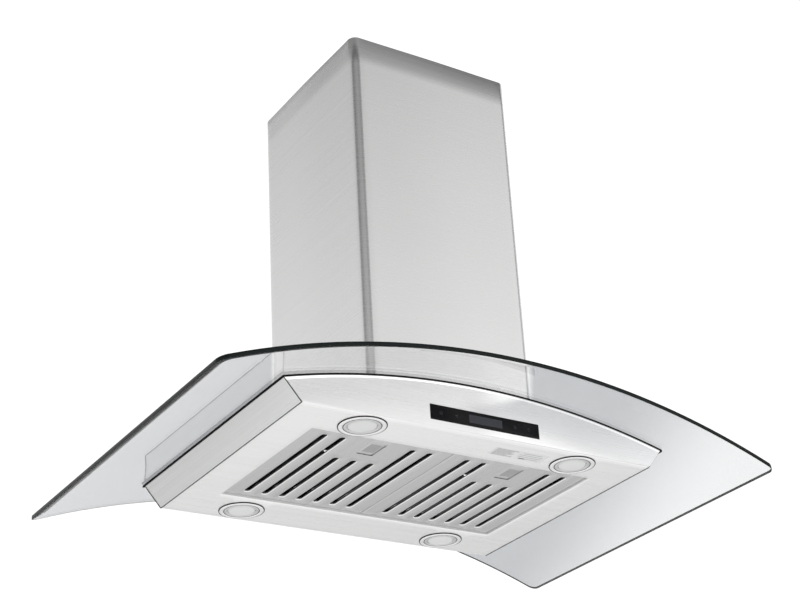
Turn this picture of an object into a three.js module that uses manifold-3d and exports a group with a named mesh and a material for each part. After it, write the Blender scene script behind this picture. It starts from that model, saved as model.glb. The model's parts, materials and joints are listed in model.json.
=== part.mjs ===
// Island range hood: a bent glass canopy on a steel body, hung from the ceiling on a telescoping frame
// inside a square chimney. Millimetres, +Z up, the control panel faces -Y.
// The origin is the centre of the ceiling plane, so everything hangs below z = 0.

import * as THREE from 'three';
import { mergeVertices } from 'three/addons/utils/BufferGeometryUtils.js';
import Module from 'manifold-3d';

const wasm = await Module();
wasm.setup();

// ---------- driving dimensions ----------

const hangHeight = 665;          // ceiling to the flat underside of the body, fully raised
const touchGap = 0.3;            // between pieces that touch
const slideGap = 1;              // between sheet pieces that slide past each other
const steelSheet = 1.2;          // canopy body and covers

const glassWidth = 900;
const glassDepth = 610;
const glassThickness = 6;
const glassArchRadius = 1225;    // underside of the bent glass
const glassApexRise = 73.4;      // glass underside above the flat underside, at the middle
const glassCornerRadius = 12;
const gasketThickness = 2.3;
const gasketWidth = 9;

const bodyWidth = 574;           // flat underside
const bodyDepth = 427;
const sideSlope = 0.83;          // outward lean of the end caps, run over rise

const coverWidth = 284;          // outside of the square chimney
const coverCornerRadius = 13;
const coverSheet = 1;
const upperCoverLength = 460;
const chimneyTopGap = 1;         // lower cover below the ceiling

const upperPostLeg = 21;
const lowerPostLeg = 25;
const postThickness = 2;
const postNestGap = 0.5;
const upperPostLength = 520;
const lowerPostTopDrop = 45;     // lower posts start this far below the ceiling
const ceilingPlateThickness = 3;
const ceilingDuctGap = 7;        // hole in the ceiling plate around the duct collar
const ceilingScrewRadius = 3.5;
const ceilingScrewInset = 20;    // screw centre in from the plate's edge

const blowerSetback = 24;        // blower box inside the cover's outer face
const blowerRise = 205;          // blower box top above the glass apex
const cutOutGap = 6;             // blower box to the glass cut-out
const clampPlateThickness = 3;
const boltRadius = 2.5;
const boltHeadRadius = 4;
const boltHeadHeight = 3.5;
const boltGap = 0.5;

const ductRadius = 75;           // outside of the duct collar
const collarWall = 1.8;
const collarHeight = 62;
const collarFlangeWidth = 7;
const damperPinRadius = 2;
const damperPinRise = 20;        // pin above the blower box top
const flapThickness = 1.2;
const flapEdgeGap = 2;
const knuckleLength = 14;
const runningGap = 0.1;          // a shaft in its bore

const wheelSetback = 52;         // wheel's rim inside the blower box
const wheelWidth = 100;
const wheelBladeCount = 20;
const wheelBladeDepth = 13;
const shaftRadius = 4;
const motorBladeGap = 11;        // motor to the inner edge of the blades
const motorLength = 58;
const scrollWidth = 122;
const scrollWall = 2;
const scrollTongueGap = 8;       // wheel to the scroll at its narrowest
const scrollGrowth = 27;         // how much the scroll widens over its turn
const eyeInset = 20;             // scroll inlet inside the wheel's rim

const openingSideMargin = 54.7;  // filter opening in from the underside's ends, front and back
const openingFrontMargin = 72.8;
const openingBackMargin = 86.4;
const filterGap = 0.8;           // filter to opening, and filter to filter
const filterHeight = 10;
const filterRecess = 3.5;        // filter face above the flat underside
const filterSheet = 1;
const slotCount = 7;
const slotPitch = 28.2;
const slotWidth = 9;
const slotBackMargin = 15;
const slotFrontMargin = 19;
const shortSlotSetback = 67;     // the slots behind the handle start this much further back
const handleSlotCount = 3;
const seatWidth = 10;
const seatThickness = 2;
const seatBarWidth = 16;

const pocketWidth = 27;
const pocketLength = 44;
const pocketFrontMargin = 17;    // pocket behind the filter's front edge
const latchLength = 15;
const latchHeight = 5;
const tongueWidth = 14;
const tongueThickness = 2;
const latchGap = 0.4;

const lampSideInset = 112;       // lamp centres in from the underside's ends
const lampEdgeInset = 38.5;      // and in from its front and back
const lampFlangeRadius = 33;
const lampCanRadius = 27;
const lampLensRadius = 20;
const lampDepth = 20;
const lampWall = 1.5;
const lampFlangeThickness = 1.4;

const panelWidth = 181;          // black glass of the touch control
const panelHeight = 22;
const panelThickness = 3;
const panelProud = 0.6;
const panelBottomRise = 10.8;    // above the flat underside
const displayWidth = 55;
const displayHeight = 12;
const displayThickness = 2;
const boardThickness = 1.6;
const housingDepth = 14;
const housingWall = 1.5;
const housingLip = 5;            // control housing past the black glass

const glandBoreRadius = 4.5;
const glandNeckRadius = 7.5;
const glandFlangeRadius = 11;
const powerBoxHeight = 38;
const powerBoxInset = 23;        // power box in from the sides of the blower box
const terminalFill = 0.6;        // share of the power box's depth that the terminal block takes
const boxWall = 1.5;
const driverHeight = 22;
const capacitorRadius = 14;
const capacitorGap = 4;          // capacitor to the collar's flange
const capacitorLength = 62;
const ribbonWidth = 12;
const ribbonThickness = 2.4;

const roundSides = 28;

// ---------- dimensions worked out from those above ----------

const undersideZ = -hangHeight;
const archCentreZ = undersideZ + glassApexRise - glassArchRadius;
const glassTopRadius = glassArchRadius + glassThickness;
const steelTopRadius = glassArchRadius - gasketThickness - 2 * touchGap;
const glassTopZ = archCentreZ + glassTopRadius;

const coverHalf = coverWidth / 2;
const coverInnerHalf = coverHalf - coverSheet;
const upperCoverHalf = coverInnerHalf - slideGap;
const upperCoverInnerHalf = upperCoverHalf - coverSheet;
const innerCornerRadius = Math.max(coverCornerRadius - 2 * coverSheet - slideGap, 0.5);
const lowerPostHalf = upperCoverInnerHalf - slideGap - innerCornerRadius * (1 - Math.SQRT1_2);
const upperPostHalf = lowerPostHalf - postThickness - postNestGap;

const blowerWidth = coverWidth - 2 * blowerSetback;
const blowerHalf = blowerWidth / 2;
const blowerTopZ = glassTopZ + blowerRise;
const cutOutHalf = blowerHalf + cutOutGap;
const clampTopRadius = glassTopRadius + touchGap + clampPlateThickness;
const boltPlace = (cutOutHalf + lowerPostHalf - postThickness) / 2;
const collarFlangeRadius = ductRadius + collarFlangeWidth;
const ceilingDuctRadius = ductRadius + ceilingDuctGap;
const powerBoxWidth = blowerWidth - 2 * powerBoxInset;
const ribbonPlaceY = blowerHalf + cutOutGap / 2;
const damperPinZ = blowerTopZ + damperPinRise;
const flapRadius = ductRadius - collarWall - flapEdgeGap;
const knuckleRadius = damperPinRadius + 2;

const filterOpeningWidth = bodyWidth - 2 * openingSideMargin;
const filterOpeningDepth = bodyDepth - openingFrontMargin - openingBackMargin;
const filterOpeningBack = bodyDepth / 2 - openingBackMargin;
const filterBackY = filterOpeningBack - filterGap;
const filterFrontY = filterOpeningBack - filterOpeningDepth + filterGap;
const filterLowZ = undersideZ + filterRecess;
const filterTopZ = filterLowZ + filterHeight;
const hemTopZ = filterTopZ + touchGap + seatThickness + 1;
const filterWidth = filterOpeningWidth / 2 - 1.5 * filterGap;
const filterCentreX = (filterGap + filterWidth) / 2;

const panelOutY = -bodyDepth / 2 - panelProud;
const panelLowZ = undersideZ + panelBottomRise;
const panelBackY = panelOutY + panelThickness;
const boardFrontY = panelBackY + displayThickness + 2 * touchGap;
const boardBackY = boardFrontY + boardThickness;
const boardHalfWidth = panelWidth / 2 - 6;
const boardLowZ = panelLowZ + 1;
const boardHighZ = panelLowZ + panelHeight - 1;

const lampX = bodyWidth / 2 - lampSideInset;
const lampY = bodyDepth / 2 - lampEdgeInset;

const wheelRadius = blowerHalf - wheelSetback;
const motorRadius = wheelRadius - wheelBladeDepth - motorBladeGap;
const eyeRadius = wheelRadius - eyeInset;
const wheelY = 14;               // fan axis behind the duct's centre line
const wheelZ = blowerTopZ - wheelRadius - scrollGrowth - scrollTongueGap - 8;

const corners = [
  { name: 'front_left', sideX: -1, sideY: -1 },
  { name: 'front_right', sideX: 1, sideY: -1 },
  { name: 'back_left', sideX: -1, sideY: 1 },
  { name: 'back_right', sideX: 1, sideY: 1 },
];

// ---------- materials ----------

const finish = (color, roughness, metalness, more = {}) => () =>
  new THREE.MeshStandardMaterial({ color, roughness, metalness, ...more });
const brushedSteel = finish(0xc9cacb, 0.32, 1);
const galvanised = finish(0xb3b7ba, 0.5, 0.9);
const zincBolt = finish(0xd2d3d4, 0.35, 1);
const blackGlass = finish(0x0b0c0e, 0.06, 0);
const clearGlass = finish(0xcfdcd8, 0.05, 0, { transparent: true, opacity: 0.35 });
const frostedGlass = finish(0xf3f4f2, 0.6, 0);
const blackRubber = finish(0x141414, 0.85, 0);
const darkPlastic = finish(0x2a2c2e, 0.6, 0);
const paleBox = finish(0xd9dadb, 0.55, 0);
const displayDark = finish(0x363945, 0.15, 0);
const boardGreen = finish(0x1f5b39, 0.5, 0);
const motorMetal = finish(0x8d9194, 0.45, 0.8);
const cableGrey = finish(0x8b8d90, 0.7, 0);

// ---------- shape helpers ----------

// A closed manifold from a geometry whose shared corners are merged.
function solid(geometry) {
  const bare = geometry.index ? geometry.toNonIndexed() : geometry;
  bare.deleteAttribute('normal');
  bare.deleteAttribute('uv');
  const merged = mergeVertices(bare, 1e-4);
  return new wasm.Manifold(new wasm.Mesh({
    numProp: 3,
    vertProperties: Float32Array.from(merged.attributes.position.array),
    triVerts: Uint32Array.from(merged.index.array),
  }));
}

function geometryOf(manifold) {
  const mesh = manifold.getMesh();
  const geometry = new THREE.BufferGeometry();
  geometry.setAttribute('position', new THREE.BufferAttribute(mesh.vertProperties, 3));
  geometry.setIndex(new THREE.BufferAttribute(mesh.triVerts, 1));
  return geometry;
}

const join = (...pieces) => pieces.reduce((whole, piece) => whole.add(piece));

function block([xLow, xHigh], [yLow, yHigh], [zLow, zHigh]) {
  const box = new THREE.BoxGeometry(xHigh - xLow, yHigh - yLow, zHigh - zLow);
  return solid(box.translate((xLow + xHigh) / 2, (yLow + yHigh) / 2, (zLow + zHigh) / 2));
}

// A drawn outline pushed along each axis. The outline's two directions are (x, y), (x, z) or (y, z).
function push(outline, low, high) {
  return new THREE.ExtrudeGeometry(outline, { depth: high - low, bevelEnabled: false, curveSegments: 4 })
    .translate(0, 0, low);
}
const alongZ = (outline, low, high) => solid(push(outline, low, high));
const alongY = (outline, low, high) => solid(push(outline, -high, -low).rotateX(Math.PI / 2));
const yToZ = new THREE.Matrix4().makeBasis(
  new THREE.Vector3(0, 1, 0), new THREE.Vector3(0, 0, 1), new THREE.Vector3(1, 0, 0));
const alongX = (outline, low, high) => solid(push(outline, low, high).applyMatrix4(yToZ));

function polygon(points) {
  return new THREE.Shape(points.map(([u, v]) => new THREE.Vector2(u, v)));
}

function roundedRectangle(halfU, halfV, radius, centreU = 0, centreV = 0) {
  const shape = new THREE.Shape();
  const [left, right] = [centreU - halfU, centreU + halfU];
  const [low, high] = [centreV - halfV, centreV + halfV];
  shape.moveTo(left + radius, low);
  shape.lineTo(right - radius, low);
  shape.absarc(right - radius, low + radius, radius, -Math.PI / 2, 0);
  shape.lineTo(right, high - radius);
  shape.absarc(right - radius, high - radius, radius, 0, Math.PI / 2);
  shape.lineTo(left + radius, high);
  shape.absarc(left + radius, high - radius, radius, Math.PI / 2, Math.PI);
  shape.lineTo(left, low + radius);
  shape.absarc(left + radius, low + radius, radius, Math.PI, 1.5 * Math.PI);
  return shape;
}

const square = (half) => roundedSquare(half, 0);
function roundedSquare(half, radius) {
  return radius > 0 ? roundedRectangle(half, half, radius)
    : polygon([[-half, -half], [half, -half], [half, half], [-half, half]]);
}

// A round bar along one axis, from low to high.
function bar(axis, radius, low, high, centre = [0, 0], sides = roundSides) {
  const points = [];
  for (let side = 0; side < sides; side += 1) {
    const angle = (2 * Math.PI * (side + 0.5)) / sides;
    points.push([centre[0] + radius * Math.cos(angle), centre[1] + radius * Math.sin(angle)]);
  }
  return { x: alongX, y: alongY, z: alongZ }[axis](polygon(points), low, high);
}

// A turned piece on a vertical axis; the profile of (radius, height) starts and ends on the axis.
function turned(profile, x, y, z, sides) {
  const points = profile.map(([radius, height]) => new THREE.Vector2(radius, height));
  return solid(new THREE.LatheGeometry(points, sides).rotateX(Math.PI / 2).translate(x, y, z));
}

// ---------- the arch that the bent glass follows ----------

const archHalfAngle = Math.asin((glassWidth / 2 + 15) / glassArchRadius);
const archSteps = 32;

function archPoints(radius) {
  const points = [];
  for (let step = 0; step <= archSteps; step += 1) {
    const angle = archHalfAngle * (2 * step / archSteps - 1);
    points.push([radius * Math.sin(angle), archCentreZ + radius * Math.cos(angle)]);
  }
  return points;
}

// The curved slab between two radii of the arch, and everything under one radius.
function archSlab(lowRadius, highRadius) {
  const outline = polygon([...archPoints(lowRadius), ...archPoints(highRadius).reverse()]);
  return alongY(outline, -glassDepth / 2 - 10, glassDepth / 2 + 10);
}

function underArch(radius) {
  const top = archPoints(radius);
  const floorZ = undersideZ - glassWidth / 2;
  const outline = polygon([[top[0][0], floorZ], [top.at(-1)[0], floorZ], ...top.reverse()]);
  return alongY(outline, -glassDepth / 2 - 10, glassDepth / 2 + 10);
}

// The body's end view: flat below, leaning sides, open above; inset moves both sides inwards.
function bodyOutline(inset) {
  const topZ = undersideZ + glassApexRise;
  const run = inset * Math.hypot(1, sideSlope);
  const lowHalf = bodyWidth / 2 - run;
  const highHalf = lowHalf + sideSlope * (topZ - undersideZ);
  return polygon([[-lowHalf, undersideZ], [lowHalf, undersideZ], [highHalf, topZ], [-highHalf, topZ]]);
}

function sheetRing(half, radius, wall) {
  const ring = roundedSquare(half, radius);
  ring.holes.push(roundedSquare(half - wall, Math.max(radius - wall, 0.5)));
  return ring;
}

// ---------- the frame and covers ----------

function ceilingPlate() {
  const half = upperCoverInnerHalf - 0.5;
  let plate = alongZ(roundedSquare(half, innerCornerRadius), -ceilingPlateThickness, 0);
  plate = plate.subtract(bar('z', ceilingDuctRadius, -ceilingPlateThickness - 1, 1));
  for (const { sideX, sideY } of corners) {
    const place = half - ceilingScrewInset;
    const centre = [sideX * place, sideY * place];
    plate = plate.subtract(bar('z', ceilingScrewRadius, -ceilingPlateThickness - 1, 1, centre, 12));
  }
  return plate;
}

function anglePost({ sideX, sideY }, half, leg, lowZ, highZ) {
  const inner = half - postThickness;
  const outline = polygon([
    [half, half - leg], [half, half], [half - leg, half],
    [half - leg, inner], [inner, inner], [inner, half - leg],
  ]);
  const post = push(outline, lowZ, highZ);
  const turns = { '1,1': 0, '-1,1': 1, '-1,-1': 2, '1,-1': 3 }[`${sideX},${sideY}`];
  return solid(post.rotateZ(turns * Math.PI / 2));
}

function upperPost(corner) {
  const topZ = -ceilingPlateThickness - touchGap;
  return anglePost(corner, upperPostHalf, upperPostLeg, topZ - upperPostLength, topZ);
}

function lowerPost(corner) {
  const post = anglePost(corner, lowerPostHalf, lowerPostLeg, undersideZ, -lowerPostTopDrop);
  return post.subtract(underArch(clampTopRadius + touchGap));
}

function lowerCover() {
  const tube = alongZ(sheetRing(coverHalf, coverCornerRadius, coverSheet), undersideZ, -chimneyTopGap);
  return tube.subtract(underArch(glassTopRadius + touchGap));
}

function upperCover() {
  const radius = coverCornerRadius - coverSheet - slideGap;
  return alongZ(sheetRing(upperCoverHalf, radius, coverSheet), -upperCoverLength, 0);
}

// ---------- the glass and what clamps it ----------

function boltHoles(radius) {
  const holes = corners.map(({ sideX, sideY }) =>
    bar('z', radius, undersideZ, blowerTopZ, [sideX * boltPlace, sideY * boltPlace], 12));
  return join(...holes);
}

function glassCanopy() {
  const plan = roundedRectangle(glassWidth / 2, glassDepth / 2, glassCornerRadius);
  const cutOut = roundedSquare(cutOutHalf, 8);
  const slab = archSlab(glassArchRadius, glassTopRadius);
  return slab.intersect(alongZ(plan, undersideZ - glassWidth / 2, 0))
    .subtract(alongZ(cutOut, undersideZ - glassWidth / 2, 0))
    .subtract(boltHoles(boltRadius + boltGap));
}

// The seal under the glass, along the top edges of the body.
function glassGasket() {
  const band = archSlab(steelTopRadius + touchGap, glassArchRadius - touchGap);
  const halfDepth = bodyDepth / 2;
  const outer = alongY(bodyOutline(0), -halfDepth, halfDepth);
  const inner = alongY(bodyOutline(gasketWidth), -halfDepth + gasketWidth, halfDepth - gasketWidth);
  return band.intersect(outer).subtract(inner.subtract(underArch(steelTopRadius - gasketWidth)));
}

function innerGasket() {
  const band = archSlab(steelTopRadius + touchGap, glassArchRadius - touchGap);
  const ring = squareRing(lowerPostHalf, cutOutHalf);
  return band.intersect(ring).subtract(boltHoles(boltRadius + boltGap));
}

function squareRing(outerHalf, innerHalf) {
  return alongZ(square(outerHalf), undersideZ, 0).subtract(alongZ(square(innerHalf), undersideZ, 0));
}

function glassClampFrame() {
  const band = archSlab(glassTopRadius + touchGap, clampTopRadius);
  return band.intersect(squareRing(lowerPostHalf, cutOutHalf)).subtract(boltHoles(boltRadius + boltGap));
}

function glassBolt({ sideX, sideY }) {
  const [x, y] = [sideX * boltPlace, sideY * boltPlace];
  const seatZ = archCentreZ + Math.sqrt(clampTopRadius ** 2 - (boltPlace - boltHeadRadius) ** 2) + touchGap;
  const stackHeight = clampPlateThickness + glassThickness + gasketThickness + steelSheet;
  const head = bar('z', boltHeadRadius, seatZ, seatZ + boltHeadHeight, [x, y], 6);
  return head.add(bar('z', boltRadius, seatZ - stackHeight - 8, seatZ + 1, [x, y], 12));
}

// ---------- the steel body ----------

function lampHoles(radius) {
  const holes = corners.map(({ sideX, sideY }) =>
    bar('z', radius, undersideZ - 5, undersideZ + 5, [sideX * lampX, sideY * lampY], 24));
  return join(...holes);
}

const openingFrontY = filterOpeningBack - filterOpeningDepth;

function openingBlock(grow, lowZ, highZ) {
  const half = filterOpeningWidth / 2 + grow;
  return block([-half, half], [openingFrontY - grow, filterOpeningBack + grow], [lowZ, highZ]);
}

function panelWindow() {
  const half = panelWidth / 2 + touchGap;
  const span = [panelLowZ - touchGap, panelLowZ + panelHeight + touchGap];
  return block([-half, half], [-bodyDepth / 2 - 5, -bodyDepth / 2 + steelSheet + 1], span);
}

// One bent sheet: front, flat bottom and back, with a turned-up hem around the filter opening.
function canopyShell() {
  const halfDepth = bodyDepth / 2;
  const sideRun = steelSheet * Math.hypot(1, sideSlope) + touchGap;
  const front = alongY(bodyOutline(0), -halfDepth, -halfDepth + steelSheet);
  const back = alongY(bodyOutline(0), halfDepth - steelSheet, halfDepth);
  const bottomHalf = bodyWidth / 2 - sideRun;
  const bottom = block([-bottomHalf, bottomHalf], [-halfDepth, halfDepth],
    [undersideZ, undersideZ + steelSheet]);
  const hem = openingBlock(steelSheet, undersideZ, hemTopZ);
  return join(front, back, bottom, hem)
    .subtract(openingBlock(0, undersideZ - 5, hemTopZ + 5))
    .subtract(lampHoles(lampCanRadius + touchGap))
    .subtract(panelWindow())
    .intersect(underArch(steelTopRadius));
}

function sidePanel(side) {
  const halfDepth = bodyDepth / 2 - steelSheet - touchGap;
  const slab = alongY(bodyOutline(0), -halfDepth, halfDepth)
    .subtract(alongY(bodyOutline(steelSheet), -halfDepth - 1, halfDepth + 1));
  const keep = side < 0 ? [-bodyWidth, 0] : [0, bodyWidth];
  return slab.intersect(underArch(steelTopRadius))
    .intersect(block(keep, [-bodyDepth, bodyDepth], [undersideZ - 5, 0]));
}

function topPlate() {
  const halfDepth = bodyDepth / 2 - steelSheet - touchGap;
  const inletHalf = blowerHalf - 8;
  const ribbonHalf = ribbonWidth / 2 + 2;
  const ribbonSlot = [-ribbonPlaceY - 4, -ribbonPlaceY + 4];
  return archSlab(steelTopRadius - steelSheet, steelTopRadius)
    .intersect(alongY(bodyOutline(steelSheet + touchGap), -halfDepth, halfDepth))
    .subtract(alongZ(square(inletHalf), undersideZ, 0))
    .subtract(block([-ribbonHalf, ribbonHalf], ribbonSlot, [undersideZ, 0]))
    .subtract(boltHoles(boltRadius + boltGap));
}

// The inner frame that the filters close against, with a bar between the two.
function filterSeatFrame() {
  const lowZ = filterTopZ + touchGap;
  const highZ = lowZ + seatThickness;
  const middle = block([-seatBarWidth / 2, seatBarWidth / 2], [openingFrontY + 1, filterOpeningBack - 1],
    [lowZ, highZ]);
  return openingBlock(-touchGap, lowZ, highZ)
    .subtract(openingBlock(-seatWidth, lowZ - 1, highZ + 1))
    .add(middle);
}

// ---------- the grease filters ----------

const slotOffsets = Array.from({ length: slotCount },
  (_, index) => (index - (slotCount - 1) / 2) * slotPitch);

function longSlot(centreX, lowY, highY, width, lowZ, highZ) {
  const half = width / 2;
  const shape = roundedRectangle(half, (highY - lowY) / 2, half - 0.01, centreX, (lowY + highY) / 2);
  return alongZ(shape, lowZ, highZ);
}

const pocketFrontY = filterFrontY + pocketFrontMargin;
const pocketBackY = pocketFrontY + pocketLength;
const pocketRoofZ = filterTopZ - filterSheet;
const tongueLowZ = filterLowZ + filterSheet + 2;

function filterFrame(centreX) {
  const [left, right] = [centreX - filterWidth / 2, centreX + filterWidth / 2];
  const spanY = [filterFrontY, filterBackY];
  let frame = block([left, right], spanY, [filterLowZ, filterTopZ]);
  const wall = filterSheet;
  frame = frame.subtract(block([left + wall, right - wall], [spanY[0] + wall, spanY[1] - wall],
    [filterLowZ + wall, filterTopZ + 1]));
  const pocketHalf = pocketWidth / 2;
  const pan = block([centreX - pocketHalf - wall, centreX + pocketHalf + wall],
    [pocketFrontY - wall, pocketBackY + wall], [filterLowZ, pocketRoofZ]);
  const hollow = block([centreX - pocketHalf, centreX + pocketHalf], [pocketFrontY, pocketBackY],
    [filterLowZ - 1, pocketRoofZ - wall]);
  frame = frame.add(pan).subtract(hollow);
  slotOffsets.forEach((offset, index) => {
    const besideHandle = Math.abs(index - (slotCount - 1) / 2) < handleSlotCount / 2;
    const startY = filterFrontY + slotFrontMargin + (besideHandle ? shortSlotSetback : 0);
    frame = frame.subtract(longSlot(centreX + offset, startY, filterBackY - slotBackMargin, slotWidth,
      filterLowZ - 1, filterLowZ + wall + 1));
  });
  const tongueHalf = tongueWidth / 2 + latchGap;
  const notch = block([centreX - tongueHalf, centreX + tongueHalf],
    [filterFrontY - 1, pocketFrontY + wall],
    [tongueLowZ - latchGap, tongueLowZ + tongueThickness + latchGap]);
  return frame.subtract(notch);
}

// The second layer: plates that stand over the slots of the first, so the air has to turn.
function filterBaffles(centreX) {
  const half = filterWidth / 2 - filterSheet - touchGap;
  const spanY = [filterFrontY + filterSheet + touchGap, filterBackY - filterSheet - touchGap];
  const spanZ = [filterTopZ - 2 * filterSheet, filterTopZ - filterSheet];
  const panHalf = pocketWidth / 2 + filterSheet + touchGap;
  let plate = block([centreX - half, centreX + half], spanY, spanZ)
    .subtract(block([centreX - panHalf, centreX + panHalf],
      [filterFrontY, pocketBackY + filterSheet + touchGap], [spanZ[0] - 1, spanZ[1] + 1]));
  for (let index = 0; index < slotCount - 1; index += 1) {
    const offset = (slotOffsets[index] + slotOffsets[index + 1]) / 2;
    const besideHandle = Math.abs(offset) < panHalf + slotWidth;
    const startY = (besideHandle ? pocketBackY : spanY[0]) + slotBackMargin;
    plate = plate.subtract(longSlot(centreX + offset, startY, spanY[1] - 8, slotWidth,
      spanZ[0] - 1, spanZ[1] + 1));
  }
  return plate;
}

// The sliding handle in the pocket, and the tongue that reaches the filter's front edge.
function filterLatch(centreX) {
  const grip = block([centreX - pocketWidth / 2 + latchGap, centreX + pocketWidth / 2 - latchGap],
    [pocketFrontY + latchGap, pocketFrontY + latchGap + latchLength],
    [tongueLowZ, tongueLowZ + latchHeight - 2]);
  const lip = block([centreX - pocketWidth / 2 + 3, centreX + pocketWidth / 2 - 3],
    [pocketFrontY + latchLength - 3, pocketFrontY + latchLength],
    [filterLowZ + 0.5, tongueLowZ + 1]);
  const tongue = block([centreX - tongueWidth / 2, centreX + tongueWidth / 2],
    [filterFrontY + latchGap, pocketFrontY + latchLength / 2], [tongueLowZ, tongueLowZ + tongueThickness]);
  return join(grip, lip, tongue);
}

// ---------- lamps and controls ----------

// A can with a stepped flange, open in the middle where the lens sits.
function lampHousing({ sideX, sideY }) {
  const profile = [
    [0, lampDepth - lampWall],
    [lampCanRadius - lampWall, lampDepth - lampWall],
    [lampCanRadius - lampWall, 3],
    [lampLensRadius + touchGap, 3],
    [lampLensRadius + touchGap, -lampFlangeThickness - touchGap],
    [lampFlangeRadius - 1, -lampFlangeThickness - touchGap],
    [lampFlangeRadius, -touchGap - 0.5],
    [lampFlangeRadius, -touchGap],
    [lampCanRadius, -touchGap],
    [lampCanRadius, lampDepth],
    [0, lampDepth],
  ];
  return turned(profile, sideX * lampX, sideY * lampY, undersideZ, 24);
}

function lampLens({ sideX, sideY }) {
  const rim = [[lampLensRadius - 1, -1.2], [lampLensRadius, -0.4], [lampLensRadius, 2]];
  const profile = [[0, -1.2], ...rim, [0, 2]];
  return turned(profile, sideX * lampX, sideY * lampY, undersideZ, 24);
}

function touchPanel() {
  const outline = roundedRectangle(panelWidth / 2, panelHeight / 2, 1, 0, panelLowZ + panelHeight / 2);
  return alongY(outline, panelOutY, panelBackY);
}

function displayModule() {
  const centreZ = panelLowZ + panelHeight / 2;
  return block([-displayWidth / 2, displayWidth / 2],
    [panelBackY + touchGap, panelBackY + touchGap + displayThickness],
    [centreZ - displayHeight / 2, centreZ + displayHeight / 2]);
}

function controlBoard() {
  const plate = block([-boardHalfWidth, boardHalfWidth], [boardFrontY, boardBackY], [boardLowZ, boardHighZ]);
  const chip = block([-30, -14], [boardBackY - 0.2, boardBackY + 2], [boardLowZ + 4, boardHighZ - 5]);
  const socket = block([-8, 8], [boardBackY - 0.2, boardBackY + 3], [boardHighZ - 5, boardHighZ]);
  return join(plate, chip, socket);
}

// A tray behind the black glass that holds the board, open towards the glass.
function controlHousing() {
  const frontY = -bodyDepth / 2 + steelSheet + touchGap;
  const half = panelWidth / 2 + housingLip;
  const [lowZ, highZ] = [panelLowZ - 3, panelLowZ + panelHeight + 3];
  const tray = block([-half, half], [frontY, frontY + housingDepth], [lowZ, highZ]);
  const hollow = block([-panelWidth / 2 - 1, panelWidth / 2 + 1],
    [frontY - 1, frontY + housingDepth - housingWall],
    [panelLowZ - 1, panelLowZ + panelHeight + 1]);
  const cableNotch = block([-ribbonWidth / 2 - 1, ribbonWidth / 2 + 1],
    [frontY + housingDepth - housingWall - 6, frontY + housingDepth + 1], [highZ - 5, highZ + 1]);
  return tray.subtract(hollow).subtract(cableNotch);
}

// ---------- the blower ----------

function blowerBox() {
  const innerHalf = blowerHalf - steelSheet;
  const outer = alongZ(square(blowerHalf), undersideZ, blowerTopZ);
  const inner = alongZ(square(innerHalf), undersideZ - 1, blowerTopZ - steelSheet);
  return outer.subtract(inner)
    .subtract(bar('z', ductRadius - collarWall, undersideZ, blowerTopZ + 1))
    .subtract(underArch(steelTopRadius + touchGap));
}

// The spiral around the wheel, seen along its axis, running up to a straight outlet.
function scrollOutline(inset) {
  const start = wheelRadius + scrollTongueGap + scrollWall;
  const points = [];
  const steps = 30;
  const throatZ = blowerTopZ - steelSheet - touchGap + (inset > 0 ? 5 : 0);
  for (let step = 0; step <= steps; step += 1) {
    const turn = step / steps;
    const angle = Math.PI / 2 - 0.75 - turn * (2 * Math.PI - 0.75 - Math.PI / 2);
    const radius = start + scrollGrowth * turn - inset;
    points.push([wheelY + radius * Math.cos(angle), wheelZ + radius * Math.sin(angle)]);
  }
  const outerY = wheelY - (start + scrollGrowth) + inset;
  points.push([outerY, throatZ], [points[0][0], throatZ]);
  return polygon(points.reverse());
}

function scrollHousing() {
  const half = scrollWidth / 2;
  const shell = alongX(scrollOutline(0), -half, half);
  const hollow = alongX(scrollOutline(scrollWall), -half + scrollWall, half - scrollWall);
  return shell.subtract(hollow).subtract(bar('x', eyeRadius, -half - 1, half + 1, [wheelY, wheelZ]));
}

function impeller() {
  const half = wheelWidth / 2;
  const centre = [wheelY, wheelZ];
  const ring = (low, high) => bar('x', wheelRadius, low, high, centre)
    .subtract(bar('x', wheelRadius - wheelBladeDepth, low - 1, high + 1, centre));
  const disc = bar('x', wheelRadius, -1.5, 1.5, centre);
  const hub = bar('x', shaftRadius + 5, -10, 3, centre, 16);
  const blades = [];
  for (let index = 0; index < wheelBladeCount; index += 1) {
    const angle = (2 * Math.PI * index) / wheelBladeCount;
    const blade = new THREE.BoxGeometry(wheelWidth - 2, wheelBladeDepth - 2, 1.2)
      .rotateX(0.5)
      .translate(0, wheelRadius - wheelBladeDepth / 2 - 0.6, 0)
      .rotateX(angle)
      .translate(0, ...centre);
    blades.push(solid(blade));
  }
  return join(ring(-half, -half + 3), ring(half - 3, half), disc, hub, ...blades)
    .subtract(bar('x', shaftRadius + touchGap, -half, half, centre, 16));
}

const motorLowX = 5;

function impellerShaft() {
  return bar('x', shaftRadius, -12, motorLowX + motorLength - 6, [wheelY, wheelZ], 16);
}

function motor() {
  const centre = [wheelY, wheelZ];
  const highX = motorLowX + motorLength;
  const can = bar('x', motorRadius, motorLowX + 4, highX - 4, centre, 24);
  const cap = bar('x', motorRadius - 12, motorLowX, highX, centre, 24);
  return can.add(cap).subtract(bar('x', shaftRadius + runningGap, motorLowX - 1, highX - 3, centre, 16));
}

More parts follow.
